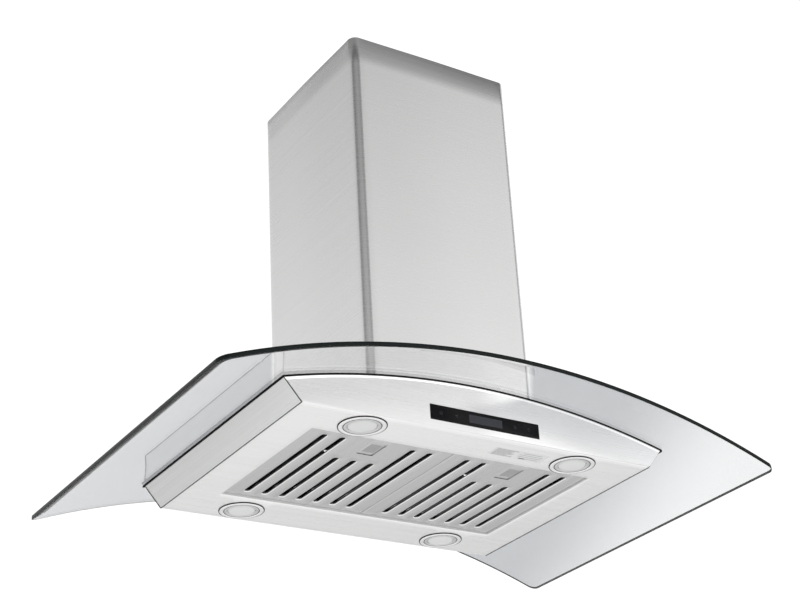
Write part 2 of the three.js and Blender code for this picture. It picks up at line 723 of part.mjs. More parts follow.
// Three arms from the motor's end to the rim of the scroll's eye.
function motorBracket() {
  const centre = [wheelY, wheelZ];
  const lowX = Math.max(scrollWidth / 2, motorLowX + motorLength) + touchGap;
  const arms = [0, 1, 2].map((index) => {
    const arm = new THREE.BoxGeometry(steelSheet * 1.5, eyeRadius + 8, 16)
      .translate(lowX + steelSheet * 0.75, (eyeRadius + 8) / 2, 0)
      .rotateX(Math.PI / 2 + (index * 2 * Math.PI) / 3)
      .translate(0, ...centre);
    return solid(arm);
  });
  return join(bar('x', 24, lowX, lowX + steelSheet * 1.5, centre, 24), ...arms);
}

function ductCollar() {
  const lowZ = blowerTopZ + touchGap;
  const innerRadius = ductRadius - collarWall;
  const stopTopZ = damperPinZ - flapThickness / 2 - touchGap;
  const tube = bar('z', ductRadius, lowZ, blowerTopZ + collarHeight)
    .add(bar('z', collarFlangeRadius, lowZ, lowZ + steelSheet))
    .subtract(bar('z', innerRadius, lowZ - 1, blowerTopZ + collarHeight + 1));
  const stop = bar('z', innerRadius + 0.5, stopTopZ - 1.5, stopTopZ)
    .subtract(bar('z', flapRadius - 2, stopTopZ - 3, stopTopZ + 1));
  const pinHole = bar('x', damperPinRadius + touchGap, -ductRadius - 1, ductRadius + 1, [0, damperPinZ], 12);
  return tube.add(stop).subtract(pinHole);
}

const damperPin = () => bar('x', damperPinRadius, -ductRadius - 2, ductRadius + 2, [0, damperPinZ], 12);

// Half a disc with two knuckles on the pin; the other flap's knuckles sit between them.
function damperFlap(side) {
  const plateZ = [damperPinZ - flapThickness / 2, damperPinZ + flapThickness / 2];
  const reach = side < 0 ? [-flapRadius - 1, -knuckleRadius - 0.6] : [knuckleRadius + 0.6, flapRadius + 1];
  const tab = side < 0 ? [-knuckleRadius - 2, -damperPinRadius - 1]
    : [damperPinRadius + 1, knuckleRadius + 2];
  const firstX = side < 0 ? knuckleLength * 2.2 : knuckleLength * 0.6;
  let flap = bar('z', flapRadius, ...plateZ).intersect(block([-flapRadius, flapRadius], reach, plateZ));
  for (const sign of [-1, 1]) {
    const span = [firstX, firstX + knuckleLength].map((x) => sign * x).sort((a, b) => a - b);
    flap = flap.add(bar('x', knuckleRadius, ...span, [0, damperPinZ], 16)).add(block(span, tab, plateZ));
  }
  const pinBore = bar('x', damperPinRadius + runningGap, -flapRadius, flapRadius, [0, damperPinZ], 12);
  return flap.subtract(pinBore);
}

// ---------- power and wiring, on top of the blower box ----------

const powerBackY = -collarFlangeRadius - 2;
const powerFrontY = -blowerHalf + 1;
const powerLowZ = blowerTopZ + touchGap;
const glandPlace = [powerBoxWidth / 2 - 22, (powerBackY + powerFrontY) / 2];

function powerBox() {
  const half = powerBoxWidth / 2;
  const outer = block([-half, half], [powerFrontY, powerBackY], [powerLowZ, powerLowZ + powerBoxHeight]);
  const inner = block([-half + boxWall, half - boxWall], [powerFrontY + boxWall, powerBackY - boxWall],
    [powerLowZ - 1, powerLowZ + powerBoxHeight - boxWall]);
  const glandHole = bar('z', glandNeckRadius + touchGap, powerLowZ + 5, powerLowZ + powerBoxHeight + 1,
    glandPlace, 16);
  return outer.subtract(inner).subtract(glandHole);
}

function cableGland() {
  const topZ = powerLowZ + powerBoxHeight + touchGap;
  return bar('z', glandNeckRadius, topZ - boxWall - 6, topZ + 1, glandPlace, 16)
    .add(bar('z', glandFlangeRadius, topZ, topZ + 6, glandPlace, 6))
    .add(bar('z', glandNeckRadius, topZ + 5, topZ + 14, glandPlace, 16))
    .subtract(bar('z', glandBoreRadius, topZ - 20, topZ + 20, glandPlace, 16));
}

function terminalBlock() {
  const centreY = (powerBackY + powerFrontY) / 2;
  const half = terminalFill * ((powerBackY - powerFrontY) / 2 - boxWall);
  const lowZ = powerLowZ + touchGap;
  let whole = block([-30, 30], [centreY - half, centreY + half], [lowZ, lowZ + 14]);
  for (let index = 0; index < 5; index += 1) {
    const x = -24 + index * 12;
    whole = whole.subtract(bar('z', 3, lowZ + 8, lowZ + 20, [x, centreY], 10));
  }
  return whole;
}

function ledDriver() {
  const lowX = -blowerHalf + 1;
  return block([lowX, -collarFlangeRadius - 2], [-42, 42], [powerLowZ, powerLowZ + driverHeight]);
}

function runCapacitor() {
  const centre = [collarFlangeRadius + capacitorGap + capacitorRadius, powerLowZ + capacitorRadius];
  return bar('x', capacitorRadius, -capacitorLength / 2, capacitorLength / 2, centre, 24);
}

// A flat cable from the power box, down the front of the blower box, under the top plate to the board.
function wiringRibbon() {
  const overZ = powerLowZ + 6;
  const underZ = undersideZ + glassApexRise - gasketThickness - steelSheet - 9;
  const endY = -bodyDepth / 2 + steelSheet + touchGap + housingDepth - housingWall - 2;
  const stops = [
    [powerFrontY - touchGap, overZ], [-ribbonPlaceY, overZ], [-ribbonPlaceY, underZ],
    [endY, underZ], [endY, boardHighZ + 2],
  ];
  return alongX(polygon(stripOutline(stops, ribbonThickness)), -ribbonWidth / 2, ribbonWidth / 2);
}

// Both edges of a strip that follows right-angled stops: each stop moves by the normals of its two legs.
function stripOutline(stops, thickness) {
  const leg = (from, to) => new THREE.Vector2(...to).sub(new THREE.Vector2(...from)).normalize();
  const edge = (sign) => stops.map((stop, index) => {
    const before = index > 0 ? leg(stops[index - 1], stop) : new THREE.Vector2();
    const after = index < stops.length - 1 ? leg(stop, stops[index + 1]) : new THREE.Vector2();
    const shift = before.add(after).multiplyScalar(sign * thickness / 2);
    return [stop[0] - shift.y, stop[1] + shift.x];
  });
  return [...edge(1), ...edge(-1).reverse()];
}

// ---------- assembly ----------

const hood = new THREE.Group();

function addPiece(name, manifold, material) {
  const mesh = new THREE.Mesh(geometryOf(manifold), material());
  mesh.name = name;
  hood.add(mesh);
}

addPiece('ceiling_plate', ceilingPlate(), galvanised);
addPiece('upper_chimney_cover', upperCover(), brushedSteel);
addPiece('lower_chimney_cover', lowerCover(), brushedSteel);
addPiece('glass_canopy', glassCanopy(), clearGlass);
addPiece('glass_gasket', glassGasket(), blackRubber);
addPiece('inner_gasket', innerGasket(), blackRubber);
addPiece('glass_clamp_frame', glassClampFrame(), galvanised);
addPiece('canopy_shell', canopyShell(), brushedSteel);
addPiece('side_panel_left', sidePanel(-1), brushedSteel);
addPiece('side_panel_right', sidePanel(1), brushedSteel);
addPiece('top_plate', topPlate(), galvanised);
addPiece('filter_seat_frame', filterSeatFrame(), brushedSteel);
addPiece('touch_panel', touchPanel(), blackGlass);
addPiece('display_module', displayModule(), displayDark);
addPiece('control_board', controlBoard(), boardGreen);
addPiece('control_housing', controlHousing(), darkPlastic);
addPiece('blower_box', blowerBox(), galvanised);
addPiece('scroll_housing', scrollHousing(), darkPlastic);
addPiece('motor', motor(), motorMetal);
addPiece('motor_bracket', motorBracket(), galvanised);
addPiece('impeller', impeller(), darkPlastic);
addPiece('impeller_shaft', impellerShaft(), zincBolt);
addPiece('duct_collar', ductCollar(), darkPlastic);
addPiece('damper_pin', damperPin(), zincBolt);
addPiece('damper_flap_front', damperFlap(-1), darkPlastic);
addPiece('damper_flap_back', damperFlap(1), darkPlastic);
addPiece('power_box', powerBox(), paleBox);
addPiece('terminal_block', terminalBlock(), paleBox);
addPiece('cable_gland', cableGland(), darkPlastic);
addPiece('led_driver', ledDriver(), paleBox);
addPiece('run_capacitor', runCapacitor(), motorMetal);
addPiece('wiring_ribbon', wiringRibbon(), cableGrey);

for (const corner of corners) {
  addPiece(`upper_post_${corner.name}`, upperPost(corner), galvanised);
  addPiece(`lower_post_${corner.name}`, lowerPost(corner), galvanised);
  addPiece(`glass_bolt_${corner.name}`, glassBolt(corner), zincBolt);
  addPiece(`lamp_housing_${corner.name}`, lampHousing(corner), brushedSteel);
  addPiece(`lamp_lens_${corner.name}`, lampLens(corner), frostedGlass);
}

for (const [side, centreX] of [['left', -filterCentreX], ['right', filterCentreX]]) {
  addPiece(`filter_${side}_frame`, filterFrame(centreX), brushedSteel);
  addPiece(`filter_${side}_baffles`, filterBaffles(centreX), brushedSteel);
  addPiece(`latch_${side}`, filterLatch(centreX), brushedSteel);
}

export default hood;
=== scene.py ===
import json
import math

import bmesh
import bpy
import numpy as np
from mathutils import Matrix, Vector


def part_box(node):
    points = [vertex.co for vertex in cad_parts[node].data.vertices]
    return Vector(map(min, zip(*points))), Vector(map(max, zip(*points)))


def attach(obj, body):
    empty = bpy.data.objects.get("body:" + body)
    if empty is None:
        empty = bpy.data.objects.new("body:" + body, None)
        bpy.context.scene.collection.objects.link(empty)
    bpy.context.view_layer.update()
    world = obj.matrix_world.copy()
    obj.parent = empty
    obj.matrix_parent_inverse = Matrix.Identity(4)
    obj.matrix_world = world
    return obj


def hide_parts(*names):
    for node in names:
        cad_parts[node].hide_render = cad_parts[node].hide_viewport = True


# Island range hood in metres, z = 0 at the ceiling, the touch controls face -Y.

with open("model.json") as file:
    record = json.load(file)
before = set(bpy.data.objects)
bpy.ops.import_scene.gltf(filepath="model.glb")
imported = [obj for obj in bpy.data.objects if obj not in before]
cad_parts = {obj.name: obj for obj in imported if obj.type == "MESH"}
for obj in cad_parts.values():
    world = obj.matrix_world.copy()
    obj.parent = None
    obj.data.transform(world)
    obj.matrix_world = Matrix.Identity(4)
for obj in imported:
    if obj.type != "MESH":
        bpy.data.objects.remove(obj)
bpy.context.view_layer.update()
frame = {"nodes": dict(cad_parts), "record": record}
scene = bpy.context.scene
scene.view_settings.view_transform = "Standard"


# ---- arrays to meshes ----

def roundedLoop(halfX, halfY, radius, sideCount=10, cornerCount=8, centre=(0, 0)):
    # rounded rectangle: four quarter turns about the inset corners, with a straight run after each
    turn = np.arange(4)[:, None] * np.pi / 2 + np.linspace(0, np.pi / 2, cornerCount)
    signX, signY = np.array([[1], [-1], [-1], [1]]), np.array([[1], [1], [-1], [-1]])
    arc = np.stack([signX * (halfX - radius) + radius * np.cos(turn),
                    signY * (halfY - radius) + radius * np.sin(turn)], -1)
    run = np.linspace(0, 1, sideCount + 2)[1:-1, None]
    straight = arc[:, -1:] + (np.roll(arc[:, :1], -1, 0) - arc[:, -1:]) * run
    return np.concatenate([arc, straight], 1).reshape(-1, 2) + centre


def lift(loop, height):
    # a plan loop at one height, or at a height for each point
    return np.column_stack([loop, np.broadcast_to(height, len(loop))])


def turnedRings(profile, centre, count=56):
    # a profile of radius and height turned about the vertical through centre
    turn = np.linspace(0, 2 * np.pi, count, endpoint=False)
    profile = np.asarray(profile, float)
    ring = np.stack([np.cos(turn), np.sin(turn), np.ones(count)], -1)
    scale = np.column_stack([profile[:, 0], profile[:, 0], profile[:, 1]])
    return ring[None] * scale[:, None] + centre


def boxRings(low, high, bevel):
    # a block with eased corners: rounded loops at its bottom, sides and top
    low, high = np.asarray(low, float), np.asarray(high, float)
    centre, half = (low + high) / 2, (high - low) / 2
    rings = []
    for inset, height in [(bevel, low[2]), (bevel * 0.3, low[2] + bevel * 0.3), (0, low[2] + bevel),
                          (0, high[2] - bevel), (bevel * 0.3, high[2] - bevel * 0.3), (bevel, high[2])]:
        loop = roundedLoop(half[0] - inset, half[1] - inset, max(bevel * 1.5 - inset, 1e-5), 1, 4, centre[:2])
        rings.append(lift(loop, height))
    return np.stack(rings)


def gridFaces(rows, columns, closedRows, closedColumns, start):
    # quads between neighbouring rows and columns, wrapping where the grid is closed
    r = np.arange(rows if closedRows else rows - 1)[:, None]
    c = np.arange(columns if closedColumns else columns - 1)[None]
    nextR, nextC = (r + 1) % rows, (c + 1) % columns
    quads = np.stack([r * columns + c, r * columns + nextC, nextR * columns + nextC, nextR * columns + c], -1)
    return quads.reshape(-1, 4) + start


def makePiece(name, grids, finishes, body, replaces=(), sharpAngle=32, loose=()):
    # a grid is (points, closed rows, closed columns, capped ends, finish number), its tail optional;
    # a loose part is (points, faces, finish number)
    points, faces, numbers, start = [], [], [], 0
    for grid in grids:
        array, closedRows, closedColumns, capped, number = (*grid, *(True, True, "", 0)[len(grid) - 1:])
        rows, columns = array.shape[:2]
        quads = gridFaces(rows, columns, closedRows, closedColumns, start).tolist()
        numbers += [number] * len(quads) if np.isscalar(number) else list(number)
        for row in {"both": (0, rows - 1), "last": (rows - 1,), "": ()}[capped]:
            quads.append(list(range(start + row * columns, start + (row + 1) * columns)))
            numbers.append(number if np.isscalar(number) else 0)
        points.append(array.reshape(-1, 3))
        faces += quads
        start += rows * columns
    for array, quads, number in loose:
        points.append(array)
        faces += (np.asarray(quads) + start).tolist()
        numbers += np.broadcast_to(number, len(quads)).tolist()
        start += len(array)
    mesh = bpy.data.meshes.new(name)
    mesh.from_pydata(np.concatenate(points), [], faces)
    mesh.polygons.foreach_set("material_index", numbers)
    for finish in finishes:
        mesh.materials.append(finish)
    tidy = bmesh.new()
    tidy.from_mesh(mesh)
    bmesh.ops.remove_doubles(tidy, verts=tidy.verts, dist=2e-6)
    bmesh.ops.dissolve_degenerate(tidy, edges=tidy.edges, dist=1e-6)
    bmesh.ops.recalc_face_normals(tidy, faces=tidy.faces)
    tidy.to_mesh(mesh)
    tidy.free()
    mesh.shade_smooth()
    mesh.set_sharp_from_angle(angle=math.radians(sharpAngle))
    piece = bpy.data.objects.new(name, mesh)
    scene.collection.objects.link(piece)
    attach(piece, body)
    if replaces:
        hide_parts(*replaces)
    return piece


# ---- shader sums ----

class Wire:
    # one socket of a material's node tree, so that sums on values read as sums
    def __init__(self, tree, socket):
        self.tree, self.socket = tree, socket

    def sum(self, operation, first, second):
        return addNode(self.tree, "ShaderNodeMath", {"operation": operation}, {0: first, 1: second})

    def __add__(self, other):
        return self.sum("ADD", self, other)

    def __sub__(self, other):
        return self.sum("SUBTRACT", self, other)

    def __rsub__(self, other):
        return self.sum("SUBTRACT", other, self)

    def __mul__(self, other):
        return self.sum("MULTIPLY", self, other)

    def __pow__(self, other):
        return self.sum("POWER", self, other)

    __radd__, __rmul__ = __add__, __mul__


def addNode(tree, kind, settings=None, values=None, output=0):
    # a node of one kind: its settings first, then a value or a link for each input
    node = tree.nodes.new(kind)
    for name, value in (settings or {}).items():
        setattr(node, name, value)
    for name, value in (values or {}).items():
        if isinstance(value, Wire):
            tree.links.new(value.socket, node.inputs[name])
        else:
            node.inputs[name].default_value = value
    return Wire(tree, node.outputs[output])


def newFinish(name, **constants):
    # a material with one shader, whose own sockets hold the constants
    finish = bpy.data.materials.new(name)
    finish.use_nodes = True
    shader = finish.node_tree.nodes["Principled BSDF"]
    for socket, value in constants.items():
        shader.inputs[socket.replace("_", " ")].default_value = value
    return finish, finish.node_tree, shader


def feed(tree, shader, **wires):
    # what varies over the surface goes into the shader's sockets
    for socket, wire in wires.items():
        tree.links.new(wire.socket, shader.inputs[socket.replace("_", " ")])


def place(tree, scale=(1, 1, 1), shift=(0, 0, 0), turn=(0, 0, 0)):
    coordinates = addNode(tree, "ShaderNodeTexCoord", output="Object")
    return addNode(tree, "ShaderNodeMapping", {"vector_type": "POINT"},
                   {"Vector": coordinates, "Scale": scale, "Location": shift, "Rotation": turn})


def noise(tree, vector, scale=1.0, detail=2.0, roughness=0.5):
    return addNode(tree, "ShaderNodeTexNoise", {"noise_dimensions": "3D"},
                   {"Vector": vector, "Scale": scale, "Detail": detail, "Roughness": roughness})


def bump(tree, height, strength, distance):
    return addNode(tree, "ShaderNodeBump", {}, {"Height": height, "Strength": strength, "Distance": distance})


def ramp(tree, wire, start, end, low, high):
    # an eased step from low at start to high at end
    if start > end:
        start, end, low, high = end, start, high, low
    return addNode(tree, "ShaderNodeMapRange", {"interpolation_type": "SMOOTHSTEP"},
                   {"Value": wire, "From Min": start, "From Max": end, "To Min": low, "To Max": high})


def axes(tree, vector):
    first = addNode(tree, "ShaderNodeSeparateXYZ", {}, {"Vector": vector})
    return [Wire(tree, socket) for socket in first.socket.node.outputs]


def limit(tree, wire, low, high):
    return addNode(tree, "ShaderNodeClamp", {}, {"Value": wire, "Min": low, "Max": high})


def tint(tree, factor, dark, light):
    # Mix has sockets of one name for each data type, so its colour sockets are reached by index
    return addNode(tree, "ShaderNodeMix", {"data_type": "RGBA"}, {0: factor, 6: (*dark, 1), 7: (*light, 1)}, 2)


# ---- finishes ----

steel = {"dark": (0.66, 0.66, 0.655), "light": (0.80, 0.80, 0.80), "smooth": 0.20, "rough": 0.34,
         "streaks": 1500.0, "along": 1.6}


def brushedSteel(name, across, paintedLightScale, smooth=steel["smooth"], **constants):
    # fine streaks: noise that is stretched along the brushing, and soft patches of handling
    finish, tree, shader = newFinish(name, Metallic=1.0, **constants)
    stretch = [steel["streaks"] if axis in across else steel["along"] for axis in "xyz"]
    fine = noise(tree, place(tree, scale=stretch), 1.0, 4.0, 0.65)
    coarse = noise(tree, place(tree, scale=[s * 0.25 for s in stretch]), 1.0, 3.0, 0.6)
    patches = noise(tree, place(tree, scale=(5, 5, 5)), 1.0, 3.0, 0.5)
    streak = limit(tree, fine * 0.7 + coarse * 0.3, 0.25, 0.75) * 2 - 0.5
    # the scale makes this copy of the steel lighter or darker: painted light and shade for how much light its
    # surface catches
    low, high = (np.minimum(np.array(steel[key]) * paintedLightScale, 0.97) for key in ("dark", "light"))
    feed(tree, shader, Base_Color=tint(tree, streak, low, high),
         Roughness=smooth + (steel["rough"] - steel["smooth"]) * streak + 0.05 * patches,
         Normal=bump(tree, fine, 0.03, 0.0003))
    return finish, tree, shader


frontGlow = {"strength": 0.18, "from": -0.02, "to": 0.035}


def frontSheet():
    # steel that gives out a little light on its right-hand side, standing for what the glass throws back at it
    finish, tree, shader = brushedSteel("frontSteel", "yz", 1.24, Emission_Strength=frontGlow["strength"])
    x, _, _ = axes(tree, place(tree))
    lit = ramp(tree, x, frontGlow["from"], frontGlow["to"], 0.0, 1.0)
    feed(tree, shader, Emission_Color=tint(tree, lit, (0, 0, 0), (1, 1, 1)))
    return finish


def spangledZinc():
    # zinc coating: crystals of slightly different grey, from cells of random colour
    finish, tree, shader = newFinish("spangledZinc", Metallic=0.9)
    cells = addNode(tree, "ShaderNodeTexVoronoi", {"feature": "F1"},
                    {"Vector": place(tree), "Scale": 120.0}, output="Color")
    shade = addNode(tree, "ShaderNodeSeparateColor", {}, {"Color": cells}, output="Red")
    cloud = noise(tree, place(tree), 14.0, 4.0)
    mix = limit(tree, shade * 0.6 + cloud * 0.4, 0.0, 1.0)
    feed(tree, shader, Base_Color=tint(tree, mix, (0.42, 0.44, 0.45), (0.66, 0.68, 0.69)),
         Roughness=0.35 + 0.2 * shade, Normal=bump(tree, shade, 0.08, 0.0005))
    return finish


def brightPlate():
    # zinc plate on small steel parts, a little cloudy
    finish, tree, shader = newFinish("brightPlate", Metallic=1.0)
    cloud = noise(tree, place(tree), 260.0, 3.0)
    feed(tree, shader, Base_Color=tint(tree, cloud, (0.62, 0.62, 0.60), (0.80, 0.80, 0.79)),
         Roughness=0.18 + 0.2 * cloud)
    return finish


# how much painted grey the glass takes, and where: a painted reflection
glassPaintedGrey = {"reflectionGrey": (0.462, 0.474, 0.490), "clear": (0.97, 0.975, 0.975), "leftSlant": 0.536,
             "left": (-0.220, -0.208), "rightSlant": 0.707, "right": (0.221, 0.240), "front": (-0.20, -0.16),
             "cornerSlant": 0.35, "corner": (0.28, 0.50), "cornerShare": 0.62, "haze": 0.06}


def clearGlass():
    # a faint grey painted into the glass's colour, a painted reflection: none in front of the chimney, whose outline
    # seen through the glass is two slanting lines x - slant * y, and less towards the right-hand corner
    finish, tree, shader = newFinish("clearGlass", Transmission_Weight=1.0, IOR=1.38)
    haze = noise(tree, place(tree), 7.0, 3.0)
    x, y, _ = axes(tree, place(tree))
    corner = ramp(tree, x - glassPaintedGrey["cornerSlant"] * y, *glassPaintedGrey["corner"], 0.0, glassPaintedGrey["cornerShare"])
    clear = (ramp(tree, x - glassPaintedGrey["leftSlant"] * y, *glassPaintedGrey["left"], 0.0, 1.0)
             * ramp(tree, x - glassPaintedGrey["rightSlant"] * y, *glassPaintedGrey["right"], 1.0, 0.0))
    front = ramp(tree, y, *glassPaintedGrey["front"], 1.0, 0.0)
    share = limit(tree, corner + clear * front + glassPaintedGrey["haze"] * haze, 0.0, 1.0)
    feed(tree, shader, Base_Color=tint(tree, share, glassPaintedGrey["reflectionGrey"], glassPaintedGrey["clear"]),
         Roughness=0.002 + 0.004 * haze)
    return finish


def polishedEdge():
    # the edge of the glass, dark because one looks along the sheet
    finish, tree, shader = newFinish("polishedEdge", IOR=1.5, Specular_IOR_Level=0.12)
    ripple = noise(tree, place(tree, scale=(40, 40, 400)), 1.0, 3.0)
    feed(tree, shader, Base_Color=tint(tree, ripple, (0.004, 0.006, 0.006), (0.016, 0.022, 0.021)),
         Roughness=0.16 + 0.15 * ripple)
    return finish


def blackRubber():
    # matt, with a fine grain
    finish, tree, shader = newFinish("blackRubber", Specular_IOR_Level=0.15)
    grain = noise(tree, place(tree), 700.0, 4.0)
    feed(tree, shader, Base_Color=tint(tree, grain, (0.004, 0.004, 0.004), (0.010, 0.010, 0.010)),
         Roughness=0.6 + 0.25 * grain, Normal=bump(tree, grain, 0.25, 0.0003))
    return finish


def blackGlass():
    # dust is fine noise in the colour, smears are coarse noise in the gloss
    finish, tree, shader = newFinish("blackGlass", IOR=1.5, Specular_IOR_Level=0.10)
    dust = noise(tree, place(tree), 480.0, 5.0)
    smear = noise(tree, place(tree, scale=(30, 30, 90)), 1.0, 4.0)
    feed(tree, shader, Base_Color=tint(tree, dust, (0.006, 0.006, 0.007), (0.016, 0.016, 0.018)),
         Roughness=0.08 + 0.12 * smear)
    return finish


def frostedLens():
    # a frosted cover: fine grain in colour, gloss and relief
    finish, tree, shader = newFinish("frostedLens", IOR=1.5, Coat_Weight=0.25)
    grain = noise(tree, place(tree), 900.0, 3.0)
    feed(tree, shader, Base_Color=tint(tree, grain, (0.66, 0.67, 0.66), (0.78, 0.79, 0.78)),
         Roughness=0.42 + 0.2 * grain, Normal=bump(tree, grain, 0.15, 0.0002))
    return finish


def mouldedPlastic(name, dark, light, grainScale=600.0):
    # spark-eroded grain over a slow change of tone
    finish, tree, shader = newFinish(name)
    grain = noise(tree, place(tree), grainScale, 4.0)
    cloud = noise(tree, place(tree), 12.0, 2.0)
    feed(tree, shader, Base_Color=tint(tree, limit(tree, grain * 0.5 + cloud * 0.5, 0, 1), dark, light),
         Roughness=0.42 + 0.2 * grain, Normal=bump(tree, grain, 0.2, 0.0003))
    return finish


def circuitBoard():
    # solder mask with copper tracks: bands of a brick pattern
    finish, tree, shader = newFinish("circuitBoard")
    tracks = addNode(tree, "ShaderNodeTexBrick", {"offset": 0.5},
                     {"Vector": place(tree, turn=(math.pi / 2, 0, 0)), "Scale": 90.0, "Mortar Size": 0.03,
                      "Color1": (0, 0, 0, 1), "Color2": (0, 0, 0, 1), "Mortar": (1, 1, 1, 1)}, output="Fac")
    feed(tree, shader, Base_Color=tint(tree, tracks, (0.015, 0.11, 0.05), (0.05, 0.24, 0.10)),
         Roughness=0.35 + 0.1 * tracks, Normal=bump(tree, tracks, 0.2, 0.0003))
    return finish


def paintedMetal(name, dark, light, metallic=0.5):
    # orange peel: soft noise as relief and gloss
    finish, tree, shader = newFinish(name, Metallic=metallic)
    peel = noise(tree, place(tree), 220.0, 3.0)
    feed(tree, shader, Base_Color=tint(tree, peel, dark, light), Roughness=0.38 + 0.15 * peel,
         Normal=bump(tree, peel, 0.1, 0.0004))
    return finish


print("finishes")
# one brushed steel in lighter and darker copies, each scaled for the surface it covers: painted light and shade
coverSteel = brushedSteel("coverSteel", "z", 1.04)[0]
underSteel = brushedSteel("underSteel", "yz", 1.30)[0]
frontSteel = frontSheet()
sideSteel = brushedSteel("sideSteel", "xz", 1.24)[0]
filterSteel = brushedSteel("filterSteel", "xz", 0.80)[0]
shadedGripSteel = brushedSteel("shadedGripSteel", "yz", 0.50)[0]
shadedBaffleSteel = brushedSteel("shadedBaffleSteel", "xz", 0.14)[0]
lampSteel = brushedSteel("lampSteel", "yz", 1.20)[0]
# a darker copy for the band round the lamps' lenses: painted shade
shadedRingSteel = brushedSteel("shadedRingSteel", "yz", 0.84)[0]
# a lighter copy that also glows, though it is no lamp: a painted highlight for bent edges that catch the light
paintedHighlightSteel = brushedSteel("paintedHighlightSteel", "yz", 1.6, 0.10, Emission_Color=(1, 1, 1, 1), Emission_Strength=0.42)[0]
zinc, plated, glass, edge = spangledZinc(), brightPlate(), clearGlass(), polishedEdge()
rubber, controlGlass, lens, board = blackRubber(), blackGlass(), frostedLens(), circuitBoard()
darkPlastic = mouldedPlastic("darkPlastic", (0.020, 0.021, 0.022), (0.050, 0.052, 0.055))
palePlastic = mouldedPlastic("palePlastic", (0.60, 0.60, 0.59), (0.70, 0.70, 0.69))
displayGlass = mouldedPlastic("displayGlass", (0.040, 0.041, 0.052), (0.050, 0.052, 0.064), 90.0)
iconPrint = mouldedPlastic("iconPrint", (0.050, 0.050, 0.054), (0.066, 0.066, 0.070))
motorPaint = paintedMetal("motorPaint", (0.20, 0.21, 0.22), (0.27, 0.28, 0.29))
canMetal = paintedMetal("canMetal", (0.52, 0.53, 0.54), (0.66, 0.67, 0.68), 0.95)
cableSheath = mouldedPlastic("cableSheath", (0.10, 0.105, 0.11), (0.16, 0.165, 0.17))
labelPaper = mouldedPlastic("labelPaper", (0.72, 0.72, 0.72), (0.78, 0.78, 0.78))
labelInk = mouldedPlastic("labelInk", (0.30, 0.30, 0.31), (0.36, 0.36, 0.37))
labelDark = mouldedPlastic("labelDark", (0.08, 0.08, 0.08), (0.12, 0.12, 0.12))
slotFinishes = {
    "brushed_steel": coverSteel, "galvanised_steel": zinc, "plated_steel": plated, "clear_glass": glass,
    "black_glass": controlGlass, "frosted_lens": lens, "black_rubber": rubber, "dark_plastic": darkPlastic,
    "pale_plastic": palePlastic, "display": displayGlass, "circuit_board": board, "motor_metal": motorPaint,
    "capacitor_can": canMetal, "cable_sheath": cableSheath,
}
for part in frame["record"]["subparts"]:
    node = frame["nodes"][part["node"]]
    node.data.materials.clear()
    node.data.materials.append(slotFinishes[part["material_slot"]])
# the baffles behind the slots take a nearly black copy of the steel: painted shade inside the filters
for side in ("left", "right"):
    frame["nodes"][f"filter_{side}_baffles"].data.materials[0] = shadedBaffleSteel


# ---- sheets with openings ----

def stations(*stops, steps=8):
    # evenly spaced places between each pair of stops
    runs = [np.linspace(a, b, steps + 1)[:-1] for a, b in zip(stops[:-1], stops[1:])]
    return np.concatenate([*runs, [stops[-1]]])


def rectLoop(xs, ys):
    # round a rectangle's edge through the given x and y stations, starting at the low corner
    low, high = [np.column_stack([xs, np.full_like(xs, y)]) for y in (ys[0], ys[-1])]
    left, right = [np.column_stack([np.full_like(ys, x), ys]) for x in (xs[0], xs[-1])]
    return np.concatenate([low[:-1], right[:-1], high[::-1][:-1], left[::-1][:-1]])


def holeLoop(outer, half, radius, centre):
    # the outer loop scaled down to the hole's size, its corners then pulled onto arcs of the radius
    middle, reach = (outer.min(0) + outer.max(0)) / 2, np.ptp(outer, axis=0) / 2
    square = (outer - middle) / reach * half
    inside = np.clip(square, radius - np.asarray(half), np.asarray(half) - radius)
    away = square - inside
    length = np.linalg.norm(away, axis=1, keepdims=True)
    return inside + away * np.where(length > 1e-9, radius / np.maximum(length, 1e-9), 1) + centre


def cellGrids(xs, ys, low, high, hole=None, lip=0.0, rise=0.0):
    # one rectangle of a flat sheet, both faces; a hole's lower edge rolls up on a quarter circle of radius lip,
    # in finish 1
    if hole is None:
        plan = np.stack(np.meshgrid(xs, ys), -1)
        return [(np.dstack([plan, np.full(plan.shape[:2], z)]), False, False) for z in (low, high)]
    half, radius, centre = hole
    outer, sheet, half = rectLoop(xs, ys), high - low, np.asarray(half)

    def ring(grow, height):
        return lift(holeLoop(outer, half + grow, radius + grow, centre), height)
    turn = np.linspace(0, np.pi / 2, 5 if lip else 1)
    below = [ring(lip * (1 - np.sin(t)), low + lip * (1 - np.cos(t))) for t in turn]
    above = [ring(0, high + rise), ring(sheet, high + rise), ring(sheet, high)] if rise else [ring(0, high)]
    rows = [lift(outer, low), *below, *above, lift(outer, high)]
    numbers = np.zeros(len(rows) - 1, int)
    numbers[1:len(below)] = 1
    return [(np.stack(rows), False, True, "", np.repeat(numbers, len(outer)))]


